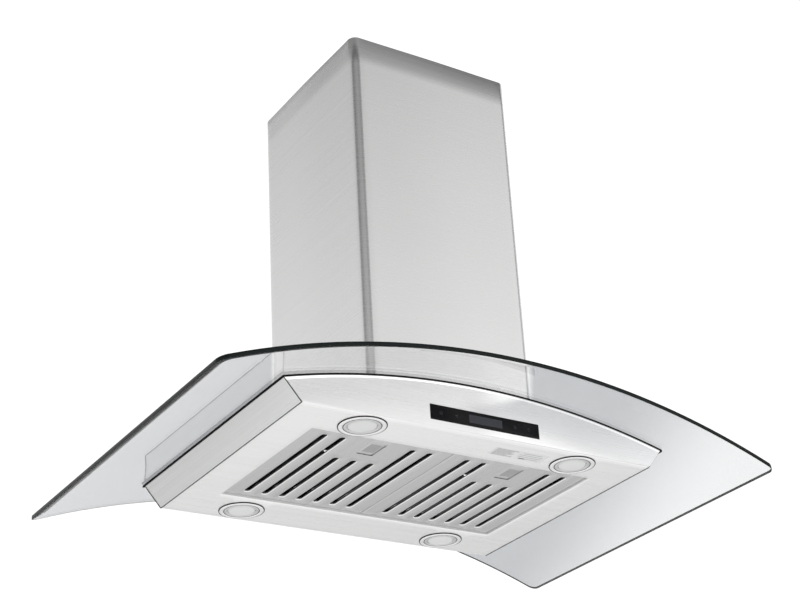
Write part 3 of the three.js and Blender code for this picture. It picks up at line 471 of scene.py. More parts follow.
def thickGrid(outer, inner, keep=None, openRows=()):
    # two matching layers of points, with walls wherever a kept cell has no neighbour
    rows, columns = outer.shape[:2]
    keep = np.ones((rows - 1, columns - 1), bool) if keep is None else keep
    index = np.arange(rows * columns).reshape(rows, columns)
    quads = np.stack([index[:-1, :-1], index[:-1, 1:], index[1:, 1:], index[1:, :-1]], -1)[keep]
    edges = np.concatenate([quads[:, [i, (i + 1) % 4]] for i in range(4)])
    edgeKeys = np.sort(edges, 1)
    _, inverse, counts = np.unique(edgeKeys, axis=0, return_inverse=True, return_counts=True)
    walls = edges[counts[inverse.ravel()] == 1]
    for row in openRows:
        walls = walls[~np.all(walls // columns == row, axis=1)]
    shift = rows * columns
    faces = np.concatenate([quads, quads[:, ::-1] + shift,
                            np.column_stack([walls[:, 1], walls[:, 0], walls[:, 0] + shift, walls[:, 1] + shift])])
    return np.concatenate([outer.reshape(-1, 3), inner.reshape(-1, 3)]), faces


# ---- the bent glass ----

glassLow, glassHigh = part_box("glass_canopy")
glassSheet = {"thickness": 0.006, "cornerRadius": 0.012, "cutOut": 0.124, "cutOutRadius": 0.008, "ease": 0.0009,
              "rings": 30}
halfGlass = np.array([glassHigh[0] - glassLow[0], glassHigh[1] - glassLow[1]]) / 2
sag = glassHigh[2] - glassSheet["thickness"] - glassLow[2]
archRadius = (halfGlass[0] ** 2 + sag ** 2) / (2 * sag)
archCentre = glassHigh[2] - glassSheet["thickness"] - archRadius


def archHeight(x, offset):
    # height of a circle about the arch's centre, offset outwards from the underside of the glass
    return archCentre + np.sqrt((archRadius + offset) ** 2 - np.asarray(x) ** 2)


def onArch(loop, offset):
    return lift(loop, archHeight(loop[:, 0], offset))


def makeGlass():
    # rings from the rim to the cut-out below, back again above; the rim is eased on both faces
    thickness, ease, cutOut = glassSheet["thickness"], glassSheet["ease"], glassSheet["cutOut"]

    def rim(inset):
        return roundedLoop(*(halfGlass - inset), glassSheet["cornerRadius"] - inset, 40, 14)
    inner = roundedLoop(cutOut, cutOut, glassSheet["cutOutRadius"], 40, 14)
    share = np.linspace(0, 1, glassSheet["rings"])[:, None, None]
    plan = rim(ease) * (1 - share) + inner * share
    under = [onArch(loop, 0) for loop in plan]
    above = [onArch(loop, thickness) for loop in plan[::-1]]
    edges = [onArch(rim(ease * 0.3), thickness - ease * 0.3), onArch(rim(0), thickness - ease),
             onArch(rim(0), ease), onArch(rim(ease * 0.3), ease * 0.3)]
    points = np.stack([*under, *above, *edges])
    numbers = np.zeros(len(points), int)
    numbers[-5:] = 1
    return makePiece("glassSheet", [(points, True, True, "", np.repeat(numbers, points.shape[1]))],
                     [glass, edge], "hood_body", ["glass_canopy"], 50)


seal = {"width": 0.009, "proud": 0.0015, "foot": -0.0026, "gap": -0.0003, "lipFoot": 1.35, "lipTop": 0.3}


def makeSeal():
    # the rubber strip under the glass follows the body's top outline, with a lip that hangs over the steel's edge;
    # the lip is made deep, so that its black also stands for the shade under the glass: partly painted shadow
    half, foot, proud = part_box("glass_gasket")[1], seal["foot"], -seal["proud"]
    section = [(0.0, foot), (proud, foot * seal["lipFoot"]), (proud, foot * seal["lipTop"]), (0.0, seal["gap"]),
               (seal["width"], seal["gap"]), (seal["width"], foot)]
    points = np.stack([onArch(roundedLoop(half[0] - inset, half[1] - inset, 0.0012, 70, 4), offset)
                       for inset, offset in section])
    return makePiece("glassSeal", [(points,)], [rubber], "hood_body", ["glass_gasket"])


# ---- the square chimney ----

cover = {"sheet": 0.001, "cornerRadius": 0.013, "upperInset": 0.002, "swell": 0.0010, "hem": 0.0006, "gap": 0.0003,
         "rows": 14}


def coverLoop(half, radius, swell, sideCount=24):
    # a rounded square whose sides swell on half a cosine towards their middles
    loop = roundedLoop(half, half, radius, sideCount, 14)
    along = np.clip(np.abs(loop).min(1) / (half - radius), 0, 1)
    loop[np.arange(len(loop)), np.abs(loop).argmax(1)] *= 1 + swell / half * np.cos(along * np.pi / 2) ** 2
    return loop


def makeCover(name, node, body, onGlass):
    # a thin-walled square tube with a rounded hem on top; the lower one's foot follows the glass
    low, high = (np.array(corner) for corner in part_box(node))
    half, sheet, hem = (high[0] - low[0]) / 2, cover["sheet"], cover["hem"]
    radius = cover["cornerRadius"] - (0 if onGlass else cover["upperInset"])
    swell = cover["swell"] if onGlass else 0
    outer, inner = coverLoop(half, radius, swell), coverLoop(half - sheet, radius - sheet, swell)
    foot = [archHeight(loop[:, 0], glassSheet["thickness"] + cover["gap"]) if onGlass
            else np.full(len(loop), low[2]) for loop in (outer, inner)]
    outside = [lift(outer, foot[0] + (high[2] - hem - foot[0]) * share)
               for share in np.linspace(0, 1, cover["rows"])]
    points = np.stack([*outside, lift((outer + inner) / 2, high[2]), lift(inner, high[2] - hem),
                       lift(inner, foot[1])])
    return makePiece(name, [(points,)], [coverSteel], body, [node], 40)


# ---- the steel body: front, flat underside and back from one folded sheet ----

shellLow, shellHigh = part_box("canopy_shell")
underside = shellLow[2]
shell = {"sheet": 0.0012, "halfWidth": 0.287, "endSheet": 0.00186, "slope": 0.83, "bend": 0.0022,
         "archDrop": -0.0029, "lamp": 0.175, "lampHole": 0.0273, "lampCell": 0.0345, "window": 0.0908,
         "windowLow": 0.0105, "windowHigh": 0.0331, "flareHeight": 0.0034, "flare": 0.0004, "hemHeight": 0.0168,
         "foldRows": 5, "lowRows": 4, "windowRows": 7, "highRows": 8, "lipRows": 5}
filterSpace = {"half": 0.2323, "front": -0.1407, "back": 0.1271}
bodyBack = shellHigh[1]
flatHalf = shell["halfWidth"] - shell["endSheet"]
hemRoll = shell["sheet"]
midHalf = filterSpace["half"] + hemRoll
bodyXs = [-flatHalf, -midHalf, -shell["lamp"] - shell["lampCell"], -shell["lamp"] + shell["lampCell"],
          -shell["window"], shell["window"], shell["lamp"] - shell["lampCell"], shell["lamp"] + shell["lampCell"],
          midHalf, flatHalf]
bodyYs = [-bodyBack + shell["bend"], filterSpace["front"] - hemRoll, filterSpace["back"] + hemRoll,
          bodyBack - shell["bend"]]


def undersideGrids():
    # the flat cells between the stops, lamp holes in the corner cells, and the hem turned up round the filters
    low, high = underside, underside + shell["sheet"]
    grids = []
    for i in range(9):
        for j in range(3):
            if j == 1 and 0 < i < 8:
                continue
            xs, ys = stations(*bodyXs[i:i + 2]), stations(*bodyYs[j:j + 2])
            hole = None
            if i in (2, 6):
                centre = [math.copysign(shell["lamp"], xs[0]), math.copysign(shell["lamp"], ys[0] + ys[-1])]
                hole = ([shell["lampHole"]] * 2, shell["lampHole"] - 1e-6, centre)
            grids += cellGrids(xs, ys, low, high, hole)
    xs, ys = stations(*bodyXs[1:9]), stations(*bodyYs[1:3])
    loop = rectLoop(xs, ys)
    middle, reach = (loop.min(0) + loop.max(0)) / 2, np.ptp(loop, axis=0) / 2

    def hem(inset, height):
        return lift((loop - middle) * (reach - inset) / reach + middle, height)
    turn = np.linspace(0, np.pi / 2, 6)
    roll = [hem(hemRoll * np.sin(t), low + hemRoll * (1 - np.cos(t))) for t in turn]
    top = low + shell["hemHeight"]
    grids.append((np.stack([*roll, hem(hemRoll, top), hem(0, top), hem(0, high)]), False, True))
    for x in (bodyXs[0], bodyXs[-1]):
        ys = stations(*bodyYs)
        wall = np.stack([np.column_stack([np.full_like(ys, x), ys, np.full_like(ys, z)]) for z in (low, high)])
        grids.append((wall, False, False))
    return grids


def archTop(across, top):
    # the height at which a leaning line meets the arch, found by putting each answer back in
    for _ in range(30):
        top = archHeight(across(top), shell["archDrop"]) - underside
    return top


def uprightGrid(side):
    # from the underside's edge: a quarter-turn fold, then rows up to the arch; columns fan out past the window
    xs = stations(*bodyXs)
    wide, sheet, bend = np.abs(xs), shell["sheet"], shell["bend"]
    spread = np.clip((wide - midHalf) / (flatHalf - midHalf), 0, 1) * shell["endSheet"]
    base = wide + spread
    fixed = shell["lamp"] - shell["lampCell"]
    fan = np.clip((base - fixed) / (shell["halfWidth"] - fixed), 0, 1)

    def across(height):
        return base + fan * shell["slope"] * height
    top = archTop(across, np.full_like(xs, 0.07))
    plain = top - shell["flareHeight"]
    lipDrop = np.linspace(1, 0, shell["lipRows"] + 1)[1:, None] * shell["flareHeight"]
    stops = np.concatenate([np.linspace(bend, shell["windowLow"], shell["lowRows"] + 1),
                            np.linspace(shell["windowLow"], shell["windowHigh"], shell["windowRows"] + 1)[1:]])
    # across the window the rows are level; past it they share out whatever height there is
    edgeTop = np.interp(shell["window"], wide[xs > 0], top[xs > 0])
    even = bend + (plain - bend) * np.clip((stops[:, None] - bend) / (edgeTop - bend), 0, 1)
    weight = np.clip((wide - shell["window"]) / (fixed - shell["window"]), 0, 1)
    lowPart = stops[:, None] * (1 - weight) + even * weight
    highPart = lowPart[-1] + np.linspace(0, 1, shell["highRows"] + 1)[1:, None] * (plain - lowPart[-1])
    height = np.concatenate([lowPart, highPart, top - lipDrop])
    rise = np.clip((height - plain) / shell["flareHeight"], 0, 1)
    turn = np.linspace(0, np.pi / 2, shell["foldRows"] + 1)[:-1, None]
    signX = np.sign(xs)

    def layer(depth):
        radius = bend - depth
        foldOut = bodyBack - bend + radius * np.sin(turn) + 0 * xs
        foldUp = bend - radius * np.cos(turn) + 0 * xs
        foldAcross = wide + spread * np.sin(turn)
        out = np.concatenate([foldOut, bodyBack - depth + shell["flare"] * rise ** 1.5])
        up = np.concatenate([foldUp, height])
        x = np.concatenate([foldAcross, across(height)]) * signX
        return np.dstack([x, side * out, underside + up])
    keep = np.ones((len(turn) + len(height) - 1, len(xs) - 1), bool)
    if side < 0:
        window = (xs[:-1] > -shell["window"] - 1e-6) & (xs[1:] < shell["window"] + 1e-6)
        windowStart = shell["foldRows"] + shell["lowRows"]
        keep[windowStart:windowStart + shell["windowRows"]] &= ~window
    points, faces = thickGrid(layer(0), layer(sheet), keep, openRows=(0,))
    row = (faces % (len(points) // 2)) // len(xs)
    # the fold is finished like the underside, the last rows in the glowing bright steel: a painted highlight on the
    # lip
    inLip, inFold = row.min(1) >= len(keep) - shell["lipRows"], row.max(1) <= shell["foldRows"]
    return points, faces, np.where(inLip, 2, np.where(inFold, 0, 1))


def makeShell():
    grids = undersideGrids()
    uprights = [uprightGrid(side) for side in (-1, 1)]
    return makePiece("bodyShell", grids, [underSteel, frontSteel, paintedHighlightSteel], "hood_body",
                     ["canopy_shell"], 25, loose=uprights)


endPanel = {"inset": 0.0015, "columns": 40, "bead": 0.00045}


def makeEndPanels():
    # a leaning sheet inside the folded one, from the underside up to the arch, its rows closer together near its
    # lower edge
    for name, sign in (("left", -1), ("right", 1)):
        ys = np.linspace(endPanel["inset"] - bodyBack, bodyBack - endPanel["inset"], endPanel["columns"])
        share = np.concatenate([[0, 0.01, 0.03], np.linspace(0.06, 1, 16)])[:, None]
        lean = math.hypot(1, shell["slope"])

        def layer(depth):
            base = shell["halfWidth"] - depth * lean
            up = share * archTop(lambda height: base + shell["slope"] * height, 0.03) + 0 * ys
            return np.dstack([sign * (base + shell["slope"] * up), ys + 0 * up, underside + up])
        # sealant in the joints with the folded sheet: a square bead along the underside and up both ends
        bead, outer = endPanel["bead"], layer(0)
        low = boxRings([-bead, ys[0], -bead], [bead, ys[-1], bead], 0.0001) + outer[0, 0] * [1, 0, 1]
        beads = [(low, False, True, "both", 1)]
        for column in (0, -1):
            square = np.array([(-1, -1), (1, -1), (1, 1), (-1, 1)]) * bead
            run = outer[:, column] + [sign * bead * 0.6, 0, 0]
            beads.append((np.stack([point + np.column_stack([square[:, 0], square[:, 1], 0 * square[:, 0]])
                                    for point in run]), False, True, "both", 1))
        makePiece(f"endPanel_{name}", beads, [sideSteel, rubber], "hood_body",
                  [f"side_panel_{name}"], 25, loose=[(*thickGrid(outer, layer(shell["sheet"])), 0)])


# ---- lamps ----

lamp = {"flange": [(0.0203, 0.003), (0.0203, -0.0006), (0.0207, -0.0011), (0.0214, -0.0014), (0.0248, -0.0016),
                   (0.0256, -0.0013), (0.0259, -0.0004), (0.0264, -0.0004), (0.0267, -0.0013), (0.0275, -0.0017),
                   (0.0312, -0.0017), (0.0322, -0.0014), (0.0328, -0.0009), (0.033, -0.0003)],
        "can": [(0.0270, -0.0003), (0.0270, 0.0188), (0.0262, 0.02), (0.0001, 0.02), (0.0001, 0.0185),
                (0.0255, 0.0185), (0.0255, 0.003)],
        "seal": [(0.0325, -0.0010), (0.0338, -0.0010), (0.0340, -0.0005), (0.0338, -0.00005), (0.0325, -0.00005)],
        "lensRim": [(0.0182, -0.0007), (0.0187, -0.0009), (0.0196, -0.0008), (0.0200, -0.0002), (0.0200, 0.002),
                    (0.0004, 0.002)],
        "lensPole": 0.0004, "lensRadius": 0.0176, "lensLow": -0.0021, "lensBulge": 0.0010, "count": 72}


def makeLamp(corner, centre):
    # a turned flange with its can and its seal; the lens band in darker steel, the groove in black rubber: painted
    # shade
    count, spot = lamp["count"], (*centre, underside)
    profile = [*lamp["flange"], *lamp["can"]]
    numbers = np.zeros(len(profile), int)
    # rows 1 to 4, the band round the lens, take the darker steel and rows 5 to 7, the groove, the black rubber:
    # painted shade
    numbers[1:5], numbers[5:8] = 2, 1
    # the black seal at the flange's edge is a rubber ring that also stands for the shade under that edge
    makePiece(f"lampRing_{corner}",
              [(turnedRings(profile, spot, count), True, True, "", np.repeat(numbers, count)),
               (turnedRings(lamp["seal"], spot, count), True, True, "", 1)],
              [lampSteel, rubber, shadedRingSteel], "hood_body", [f"lamp_housing_{corner}"], 28)
    # the lens bulges on a shallow parabola, with a moulded step at its rim
    radius = np.linspace(lamp["lensPole"], lamp["lensRadius"], 12)
    bulge = np.column_stack([radius, lamp["lensLow"] + lamp["lensBulge"] * (radius / lamp["lensRadius"]) ** 2])
    makePiece(f"lampLens_{corner}", [(turnedRings([*bulge, *lamp["lensRim"]], spot, count), False, True, "both", 0)],
              [lens], "hood_body", [f"lamp_lens_{corner}"], 40)


# ---- grease filters ----

grease = {"sheet": 0.001, "edgeRoll": 0.0012, "pitch": 0.0282, "slotHalf": 0.0043, "lip": 0.0013, "rise": 0.0024,
          "longStart": 0.0185, "shortStart": 0.0855, "end": 0.0152, "split": 0.0735, "longSlots": (0, 1, 5, 6),
          "dense": (0.0013, 0.0027, 0.0041, 0.0056), "near": 0.008,
          "pocketHalf": [0.0135, 0.022], "pocketStart": 0.0170, "pocketDepth": 0.0072, "pocketTail": 0.0078,
          "bridge": 0.0705, "bridgeHalf": 0.0008, "bridgeSpan": 0.0015, "bridgeLow": 0.0013, "bridgeHigh": 0.0022,
          "rivet": [(0.0001, -0.0002), (0.0008, -0.0001), (0.0013, 0.0003), (0.0014, 0.0016)]}


def makeFilter(name):
    # a flat tray in nine columns of cells: plain edges, four long slots, three short ones, the pocket in the middle
    low, high = (np.array(corner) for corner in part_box(f"filter_{name}_frame"))
    sheet, roll = grease["sheet"], grease["edgeRoll"]
    centre, face = (low[0] + high[0]) / 2, low[2]
    front, back = low[1], high[1]
    edgesX = [low[0] + roll, *(centre + grease["pitch"] * (np.arange(8) - 3.5)), high[0] - roll]
    dense, near, split = np.array(grease["dense"]), grease["near"], front + grease["split"]
    frontYs = np.concatenate([[front + roll], front + roll + dense, stations(front + near, split, steps=7)])
    backYs = np.concatenate([[split], split + dense, stations(split + near, back - near, steps=9),
                             back - roll - dense[::-1], [back - roll]])
    allYs = np.concatenate([frontYs, backYs[1:]])
    half, lip = grease["slotHalf"], grease["lip"]
    grids = []

    def slotFrom(start, column):
        y0, y1 = front + start, back - grease["end"]
        return ([half, (y1 - y0) / 2], half - 1e-6, [centre + grease["pitch"] * (column - 3), (y0 + y1) / 2])
    for column in range(9):
        xs, slot = stations(*edgesX[column:column + 2], steps=6), column - 1
        if column in (0, 8):
            grids += cellGrids(xs, allYs, face, face + sheet)
            continue
        isLong = slot in grease["longSlots"]
        if not isLong:
            grids += (pocketGrids(xs, frontYs, face, front, centre) if slot == 3
                      else cellGrids(xs, frontYs, face, face + sheet))
        grids += cellGrids(xs, allYs if isLong else backYs, face, face + sheet,
                           slotFrom(grease["longStart" if isLong else "shortStart"], slot), lip, grease["rise"])
    # the outer wall: a quarter roll, then up, with the sheet's thickness turned over at the top
    loop = rectLoop(stations(*edgesX, steps=6), allYs)
    middle, reach = (loop.min(0) + loop.max(0)) / 2, np.ptp(loop, axis=0) / 2

    def wall(grow, height):
        return lift((loop - middle) * (reach + grow) / reach + middle, height)
    turn = np.linspace(0, np.pi / 2, 5)
    outer = [wall(roll * np.sin(t), face + roll * (1 - np.cos(t))) for t in turn]
    inner = [wall(roll - sheet, high[2]), wall(roll - sheet, face + sheet + 0.0004), wall(0, face + sheet)]
    grids.append((np.stack([*outer, wall(roll, high[2]), *inner]), False, True))
    # a bridge set back in the second slot, with one rivet head in the glowing bright steel: a painted glint
    bridge = np.array([centre - 2 * grease["pitch"], front + grease["bridge"], face])
    span, thin = half + grease["bridgeSpan"], grease["bridgeHalf"]
    grids.append((boxRings(bridge + [-span, -thin, grease["bridgeLow"]], bridge + [span, thin, grease["bridgeHigh"]],
                           0.0003), False, True, "both"))
    grids.append((turnedRings(grease["rivet"], bridge, 24), False, True, "both", 2))
    # the slots' rolled edges take the lighter lamp steel: a painted highlight
    makePiece(f"filterFace_{name}", grids, [filterSteel, lampSteel, paintedHighlightSteel], f"filter_{name}_body",
              [f"filter_{name}_frame"], 30)


def pocketGrids(xs, ys, face, front, centre):
    # the handle's pocket: its edge rolls up, its walls rise to a roof, and the sheet follows on the far side
    outer, half = rectLoop(xs, ys), np.array(grease["pocketHalf"]) - [0.0004, 0]
    middle = [centre, front + grease["pocketStart"] + half[1]]
    sheet, roof = 0.0003, face + grease["pocketDepth"]

    def ring(grow, height, back=0.0):
        longer = np.array([0.0, back / 2])
        return lift(holeLoop(outer, half + grow + longer, 0.0015, middle + longer), height)
    # above the sheet the hollow runs further back, so that the pad's tail can slide into it
    top, back = face + grease["sheet"], grease["pocketTail"]
    below = [lift(outer, face), ring(0.0002, face), ring(0, face + 0.0003), ring(0, top), ring(0, top, back),
             ring(0, roof, back)]
    above = [lift(outer, top), ring(sheet, top, back), ring(sheet, roof + sheet, back)]
    return [(np.stack(below), False, True, "last"), (np.stack(above), False, True, "last")]


latch = {"width": 0.0258, "length": 0.0426, "ridges": 19, "ridge": 0.0009, "grip": (0.16, 0.80), "gripHalf": 0.37,
         "face": 0.0013, "thick": 0.0016, "start": 0.0009, "rim": 0.05, "rimLift": 0.0004,
         "lipFront": -0.0001, "lipBack": 0.0019, "lipLow": -0.0010, "lipHigh": 0.0006,
         "tongueHalf": 0.007, "tongueReach": 0.012, "tongueLow": 0.0012, "tongueHigh": 0.0032}


def makeLatch(name):
    # a sliding pad whose ridges are half sines across its length, a turned lip at its front, and the tongue
    low, high = (np.array(corner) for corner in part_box(f"latch_{name}"))
    frameLow = np.array(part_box(f"filter_{name}_frame")[0])
    centre, face = (low[0] + high[0]) / 2, frameLow[2] + latch["face"]
    front = frameLow[1] + grease["pocketStart"] + latch["start"]
    share, (gripStart, gripEnd) = np.linspace(0, 1, latch["ridges"] * 8 + 1), latch["grip"]
    inRidges = np.clip(np.minimum(share - gripStart, gripEnd - share) * 30, 0, 1)
    ripple = -latch["ridge"] * np.abs(np.sin(share * np.pi * latch["ridges"])) * inRidges
    ys = front + share * latch["length"]
    xs = centre + np.linspace(-0.5, 0.5, 21) * latch["width"]
    x, y = np.meshgrid(xs, ys)
    aside = np.abs(x - centre) / latch["width"]
    rim = np.minimum(0.5 - aside, latch["rim"]) / latch["rim"]
    inGrip = np.clip((latch["gripHalf"] - aside) * 20, 0, 1)
    bottom = face + ripple[:, None] * inGrip + latch["rimLift"] * (1 - np.clip(rim * 3, 0, 1))
    top = np.full_like(x, face + latch["thick"])
    points, faces = thickGrid(np.dstack([x, y, bottom]), np.dstack([x, y, top]))
    # the ridged patch takes a darker copy of the steel: painted shade in its grooves
    middle = points[faces].mean(1)
    along = (middle[:, 1] - front) / latch["length"]
    ridged = ((np.abs(middle[:, 0] - centre) < latch["gripHalf"] * latch["width"]) & (along > gripStart)
              & (along < gripEnd) & (middle[:, 2] < face + latch["thick"] / 2))
    half, tongueHalf = latch["width"] / 2, latch["tongueHalf"]
    lipBar = boxRings([centre - half, front + latch["lipFront"], face + latch["lipLow"]],
                      [centre + half, front + latch["lipBack"], face + latch["lipHigh"]], 0.0005)
    tongue = boxRings([centre - tongueHalf, low[1], face + latch["tongueLow"]],
                      [centre + tongueHalf, front + latch["tongueReach"], face + latch["tongueHigh"]], 0.0003)
    makePiece(f"filterHandle_{name}", [(lipBar, False, True, "both"), (tongue, False, True, "both")],
              [filterSteel, shadedGripSteel], f"latch_{name}_slider", [f"latch_{name}"], 30,
              loose=[(points, faces, ridged.astype(int))])


# ---- touch control and label ----

control = {"bevel": 0.0005, "iconDepth": 0.00008, "iconSize": 0.0031}


def flatRing(centre, inner, outer, start, end, y, count=28):
    # an arc band standing on the control's face: radius times cosine and sine of the turn, in x and z
    turn = np.linspace(start, end, count)
    depth = control["iconDepth"]
    corners = [(inner, y), (outer, y), (outer, y - depth), (inner, y - depth)]
    rings = np.stack([np.column_stack([centre[0] + r * np.cos(turn), np.full(count, level),
                                       centre[1] + r * np.sin(turn)]) for r, level in corners])
    if end - start > 2 * np.pi - 1e-3:
        return (rings[:, :-1].transpose(1, 0, 2), True, True, "", 2)
    return (rings.transpose(1, 0, 2), False, True, "both", 2)


def flatBar(centre, halfX, halfZ, y):
    # a bar standing on the control's face
    low = [centre[0] - halfX, y - control["iconDepth"], centre[1] - halfZ]
    high = [centre[0] + halfX, y, centre[1] + halfZ]
    return (boxRings(low, high, 0.00002), False, True, "both", 2)


def makeControl():
    # a glass strip with an eased rim, the display's cells in a finish of their own, and four generic key marks
    low, high = (np.array(corner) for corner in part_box("touch_panel"))
    displayLow, displayHigh = (np.array(corner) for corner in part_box("display_module"))
    bevel, face = control["bevel"], low[1]
    xs = np.concatenate([[low[0] + bevel], stations(displayLow[0], displayHigh[0], steps=6), [high[0] - bevel]])
    zs = np.concatenate([[low[2] + bevel], stations(displayLow[2], displayHigh[2], steps=4), [high[2] - bevel]])
    x, z = np.meshgrid(xs, zs)
    numbers = np.zeros((len(zs) - 1, len(xs) - 1), int)
    numbers[1:-1, 1:-1] = 1
    facePoints = np.dstack([x, np.full_like(x, face), z])
    loop = rectLoop(xs, zs)
    middle, reach = (loop.min(0) + loop.max(0)) / 2, np.ptp(loop, axis=0) / 2

    def rim(grow, y):
        plan = (loop - middle) * (reach + grow) / reach + middle
        return np.column_stack([plan[:, 0], np.full(len(plan), y), plan[:, 1]])
    sides = np.stack([rim(0, face), rim(bevel * 0.7, face + bevel * 0.3), rim(bevel, face + bevel),
                      rim(bevel, high[1])])
    centreZ, size = (low[2] + high[2]) / 2, control["iconSize"]
    places = [low[0] * 0.81, low[0] * 0.53, high[0] * 0.54, high[0] * 0.80]
    icons = [flatRing((places[0], centreZ), size * 0.62, size * 0.78, 2.2, 7.1, face),
             flatBar((places[0], centreZ + size * 0.55), size * 0.08, size * 0.42, face),
             flatRing((places[1], centreZ), size * 0.18, size * 0.34, 0, 2 * np.pi, face),
             *[flatRing((places[1], centreZ), size * 0.62, size * 0.74, start, start + 1.2, face)
               for start in (0.3, 2.4, 4.5)],
             flatRing((places[2], centreZ), size * 0.60, size * 0.74, 0, 2 * np.pi, face),
             flatBar((places[2], centreZ + size * 0.22), size * 0.07, size * 0.28, face),
             flatBar((places[2] + size * 0.2, centreZ), size * 0.22, size * 0.07, face),
             flatRing((places[3], centreZ + size * 0.2), size * 0.38, size * 0.54, -0.6, 3.75, face),
             flatBar((places[3], centreZ - size * 0.45), size * 0.22, size * 0.07, face),
             flatBar((places[3], centreZ - size * 0.68), size * 0.16, size * 0.06, face)]
    makePiece("touchControl",
              [(facePoints, False, False, "", numbers.ravel()), (sides, False, True, "last"), *icons],
              [controlGlass, displayGlass, iconPrint], "hood_body", ["touch_panel"], 30)


label = {"low": (0.035, -0.188), "high": (0.127, -0.161), "thick": 0.00012, "ink": 0.00003}


def makeLabel():
    # a plain sticker: a block of grey bars of uneven length, and four longer ones
    (x0, y0), (x1, y1), thick = label["low"], label["high"], label["thick"]
    grids = [(boxRings([x0, y0, underside - thick], [x1, y1, underside - 0.00001], 0.00003), False, True, "both")]

    def barAt(xa, xb, y, half, number):
        z = underside - thick
        grids.append((boxRings([xa, y - half, z - label["ink"]], [xb, y + half, z], 0.00001), False, True, "both",
                      number))
    for row in range(7):
        length = 0.036 - 0.004 * ((row * 5) % 3) - 0.002 * (row % 2)
        barAt(x0 + 0.004, x0 + 0.004 + length, y1 - 0.004 - row * 0.0032, 0.00085, 1)
    for row, (start, length) in enumerate([(0.050, 0.034), (0.046, 0.040), (0.046, 0.040), (0.050, 0.032)]):
        barAt(x0 + start, x0 + start + length, y1 - 0.005 - row * 0.0055, 0.0007, 1)
    barAt(x0 + 0.052, x0 + 0.062, y1 - 0.0042, 0.0013, 2)
    makePiece("ratingLabel", grids, [labelPaper, labelInk, labelDark], "hood_body")


# ---- every piece ----

print("glass, seal and chimney")
makeGlass()
makeSeal()
makeCover("lowerCover", "lower_chimney_cover", "hood_body", True)
makeCover("upperCover", "upper_chimney_cover", "ceiling_frame", False)
print("body, lamps and filters")
makeShell()
makeEndPanels()
for depth, signY in (("front", -1), ("back", 1)):
    for side, signX in (("left", -1), ("right", 1)):
        makeLamp(f"{depth}_{side}", np.array([signX, signY]) * shell["lamp"])
for side in ("left", "right"):
    makeFilter(side)
    makeLatch(side)
print("touch control and label")
makeControl()
makeLabel()


# ---- camera, light and floor ----

print("camera, light and floor")
cameraView = {"place": (-1.31197, -2.02478, -1.57565), "heading": 36.49, "tilt": 26.45, "roll": -4.77,
              "lens": 79.05, "shiftX": -0.1151, "shiftY": -0.0055}
camera = bpy.data.objects.new("camera", bpy.data.cameras.new("camera"))
camera.data.lens, camera.data.sensor_width = cameraView["lens"], 36
camera.data.shift_x, camera.data.shift_y = cameraView["shiftX"], cameraView["shiftY"]
camera.data.clip_start, camera.data.clip_end = 0.05, 60
camera.matrix_world = (Matrix.Translation(cameraView["place"])
                       @ Matrix.Rotation(-math.radians(cameraView["heading"]), 4, "Z")
                       @ Matrix.Rotation(math.radians(90 + cameraView["tilt"]), 4, "X")
                       @ Matrix.Rotation(math.radians(cameraView["roll"]), 4, "Z"))
scene.collection.objects.link(camera)
scene.camera = camera

# each band of light is a step along one direction: (from, to, value before, value after)
studio = {"floorDrop": 1.65, "floorSize": 9.0, "glowReach": (3.3, 4.6), "glow": 0.50, "white": 1.12,
          "sine": 0.59, "cosine": 0.81, "fall": 2.3, "fallStart": 0.42, "fallLimits": (0.34, 1.12),
          "sides": (-0.6, 0.6, 0.86, 1.14), "cornerIn": (-0.36, -0.56, 1.0, 0.30),
          "cornerOut": (-0.70, -0.86, 0.0, 0.22), "stripIn": (-0.04, 0.10, 0.0, 1.0),
          "stripOut": (0.40, 0.52, 1.0, 0.0), "stripSide": (0.3, 0.6, 0.0, 1.0), "flag": 0.62,
          "backdrop": (0.42, 0.62, 0.0, 1.0), "raised": (0.10, 0.28, 0.0, 1.0)}


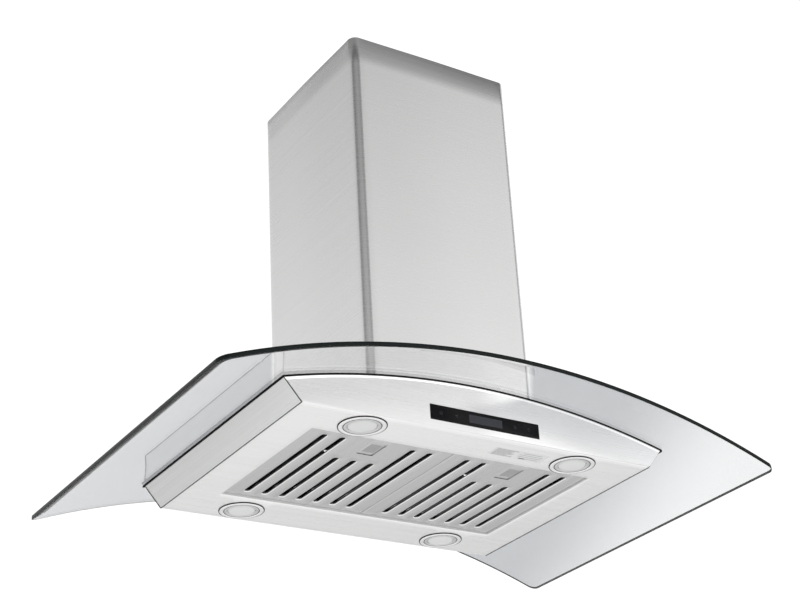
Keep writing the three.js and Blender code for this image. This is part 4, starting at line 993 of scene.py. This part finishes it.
def makeFloor():
    # a pale floor that is lit from within out to the reach, so that the underside has something bright to mirror
    size, z = studio["floorSize"], underside - studio["floorDrop"]
    mesh = bpy.data.meshes.new("floor")
    mesh.from_pydata([(-size, -size, z), (size, -size, z), (size, size, z), (-size, size, z)], [], [(0, 1, 2, 3)])
    finish, tree, shader = newFinish("palePaint")
    cloud = noise(tree, place(tree), 1.5, 4.0)
    x, y, _ = axes(tree, place(tree))
    reach = (x * x + y * y) ** 0.5
    lit = ramp(tree, reach, *studio["glowReach"], 1.0, 0.0)
    shader.inputs["Emission Strength"].default_value = studio["glow"]
    feed(tree, shader, Base_Color=tint(tree, cloud, (0.90, 0.90, 0.90), (0.93, 0.93, 0.93)),
         Roughness=0.55 + 0.2 * cloud, Emission_Color=tint(tree, lit, (0.0, 0.0, 0.0), (1.0, 1.0, 1.0)))
    mesh.materials.append(finish)
    floor = bpy.data.objects.new("floor", mesh)
    scene.collection.objects.link(floor)


def makeDome():
    # a pale studio: brightness from a direction's height, and from how far it points behind and beside the hood
    # after a turn by the main view's bearing
    world = bpy.data.worlds.new("studio")
    scene.world = world
    world.use_nodes = True
    tree = world.node_tree
    x, y, z = axes(tree, addNode(tree, "ShaderNodeTexCoord", output="Generated"))
    sine, cosine = studio["sine"], studio["cosine"]
    behind, beside = x * sine + y * cosine, x * cosine - y * sine
    falling = limit(tree, 1.0 - studio["fall"] * (z - studio["fallStart"]), *studio["fallLimits"])
    sides = ramp(tree, beside, *studio["sides"])
    corner = ramp(tree, behind, *studio["cornerIn"]) + ramp(tree, behind, *studio["cornerOut"])
    strip = ramp(tree, behind, *studio["stripIn"]) * ramp(tree, behind, *studio["stripOut"])
    rightFlag = 1.0 - studio["flag"] * strip * ramp(tree, beside, *studio["stripSide"])
    backdrop = ramp(tree, behind, *studio["backdrop"])
    shaped = falling * sides * corner * rightFlag
    raised = ramp(tree, z, *studio["raised"])
    level = backdrop * studio["white"] + (1.0 - backdrop) * (1.0 - raised + raised * shaped)
    background = tree.nodes["Background"]
    tree.links.new(level.socket, background.inputs["Strength"])
    background.inputs["Color"].default_value = (1.0, 1.0, 1.0, 1.0)


makeFloor()
makeDome()
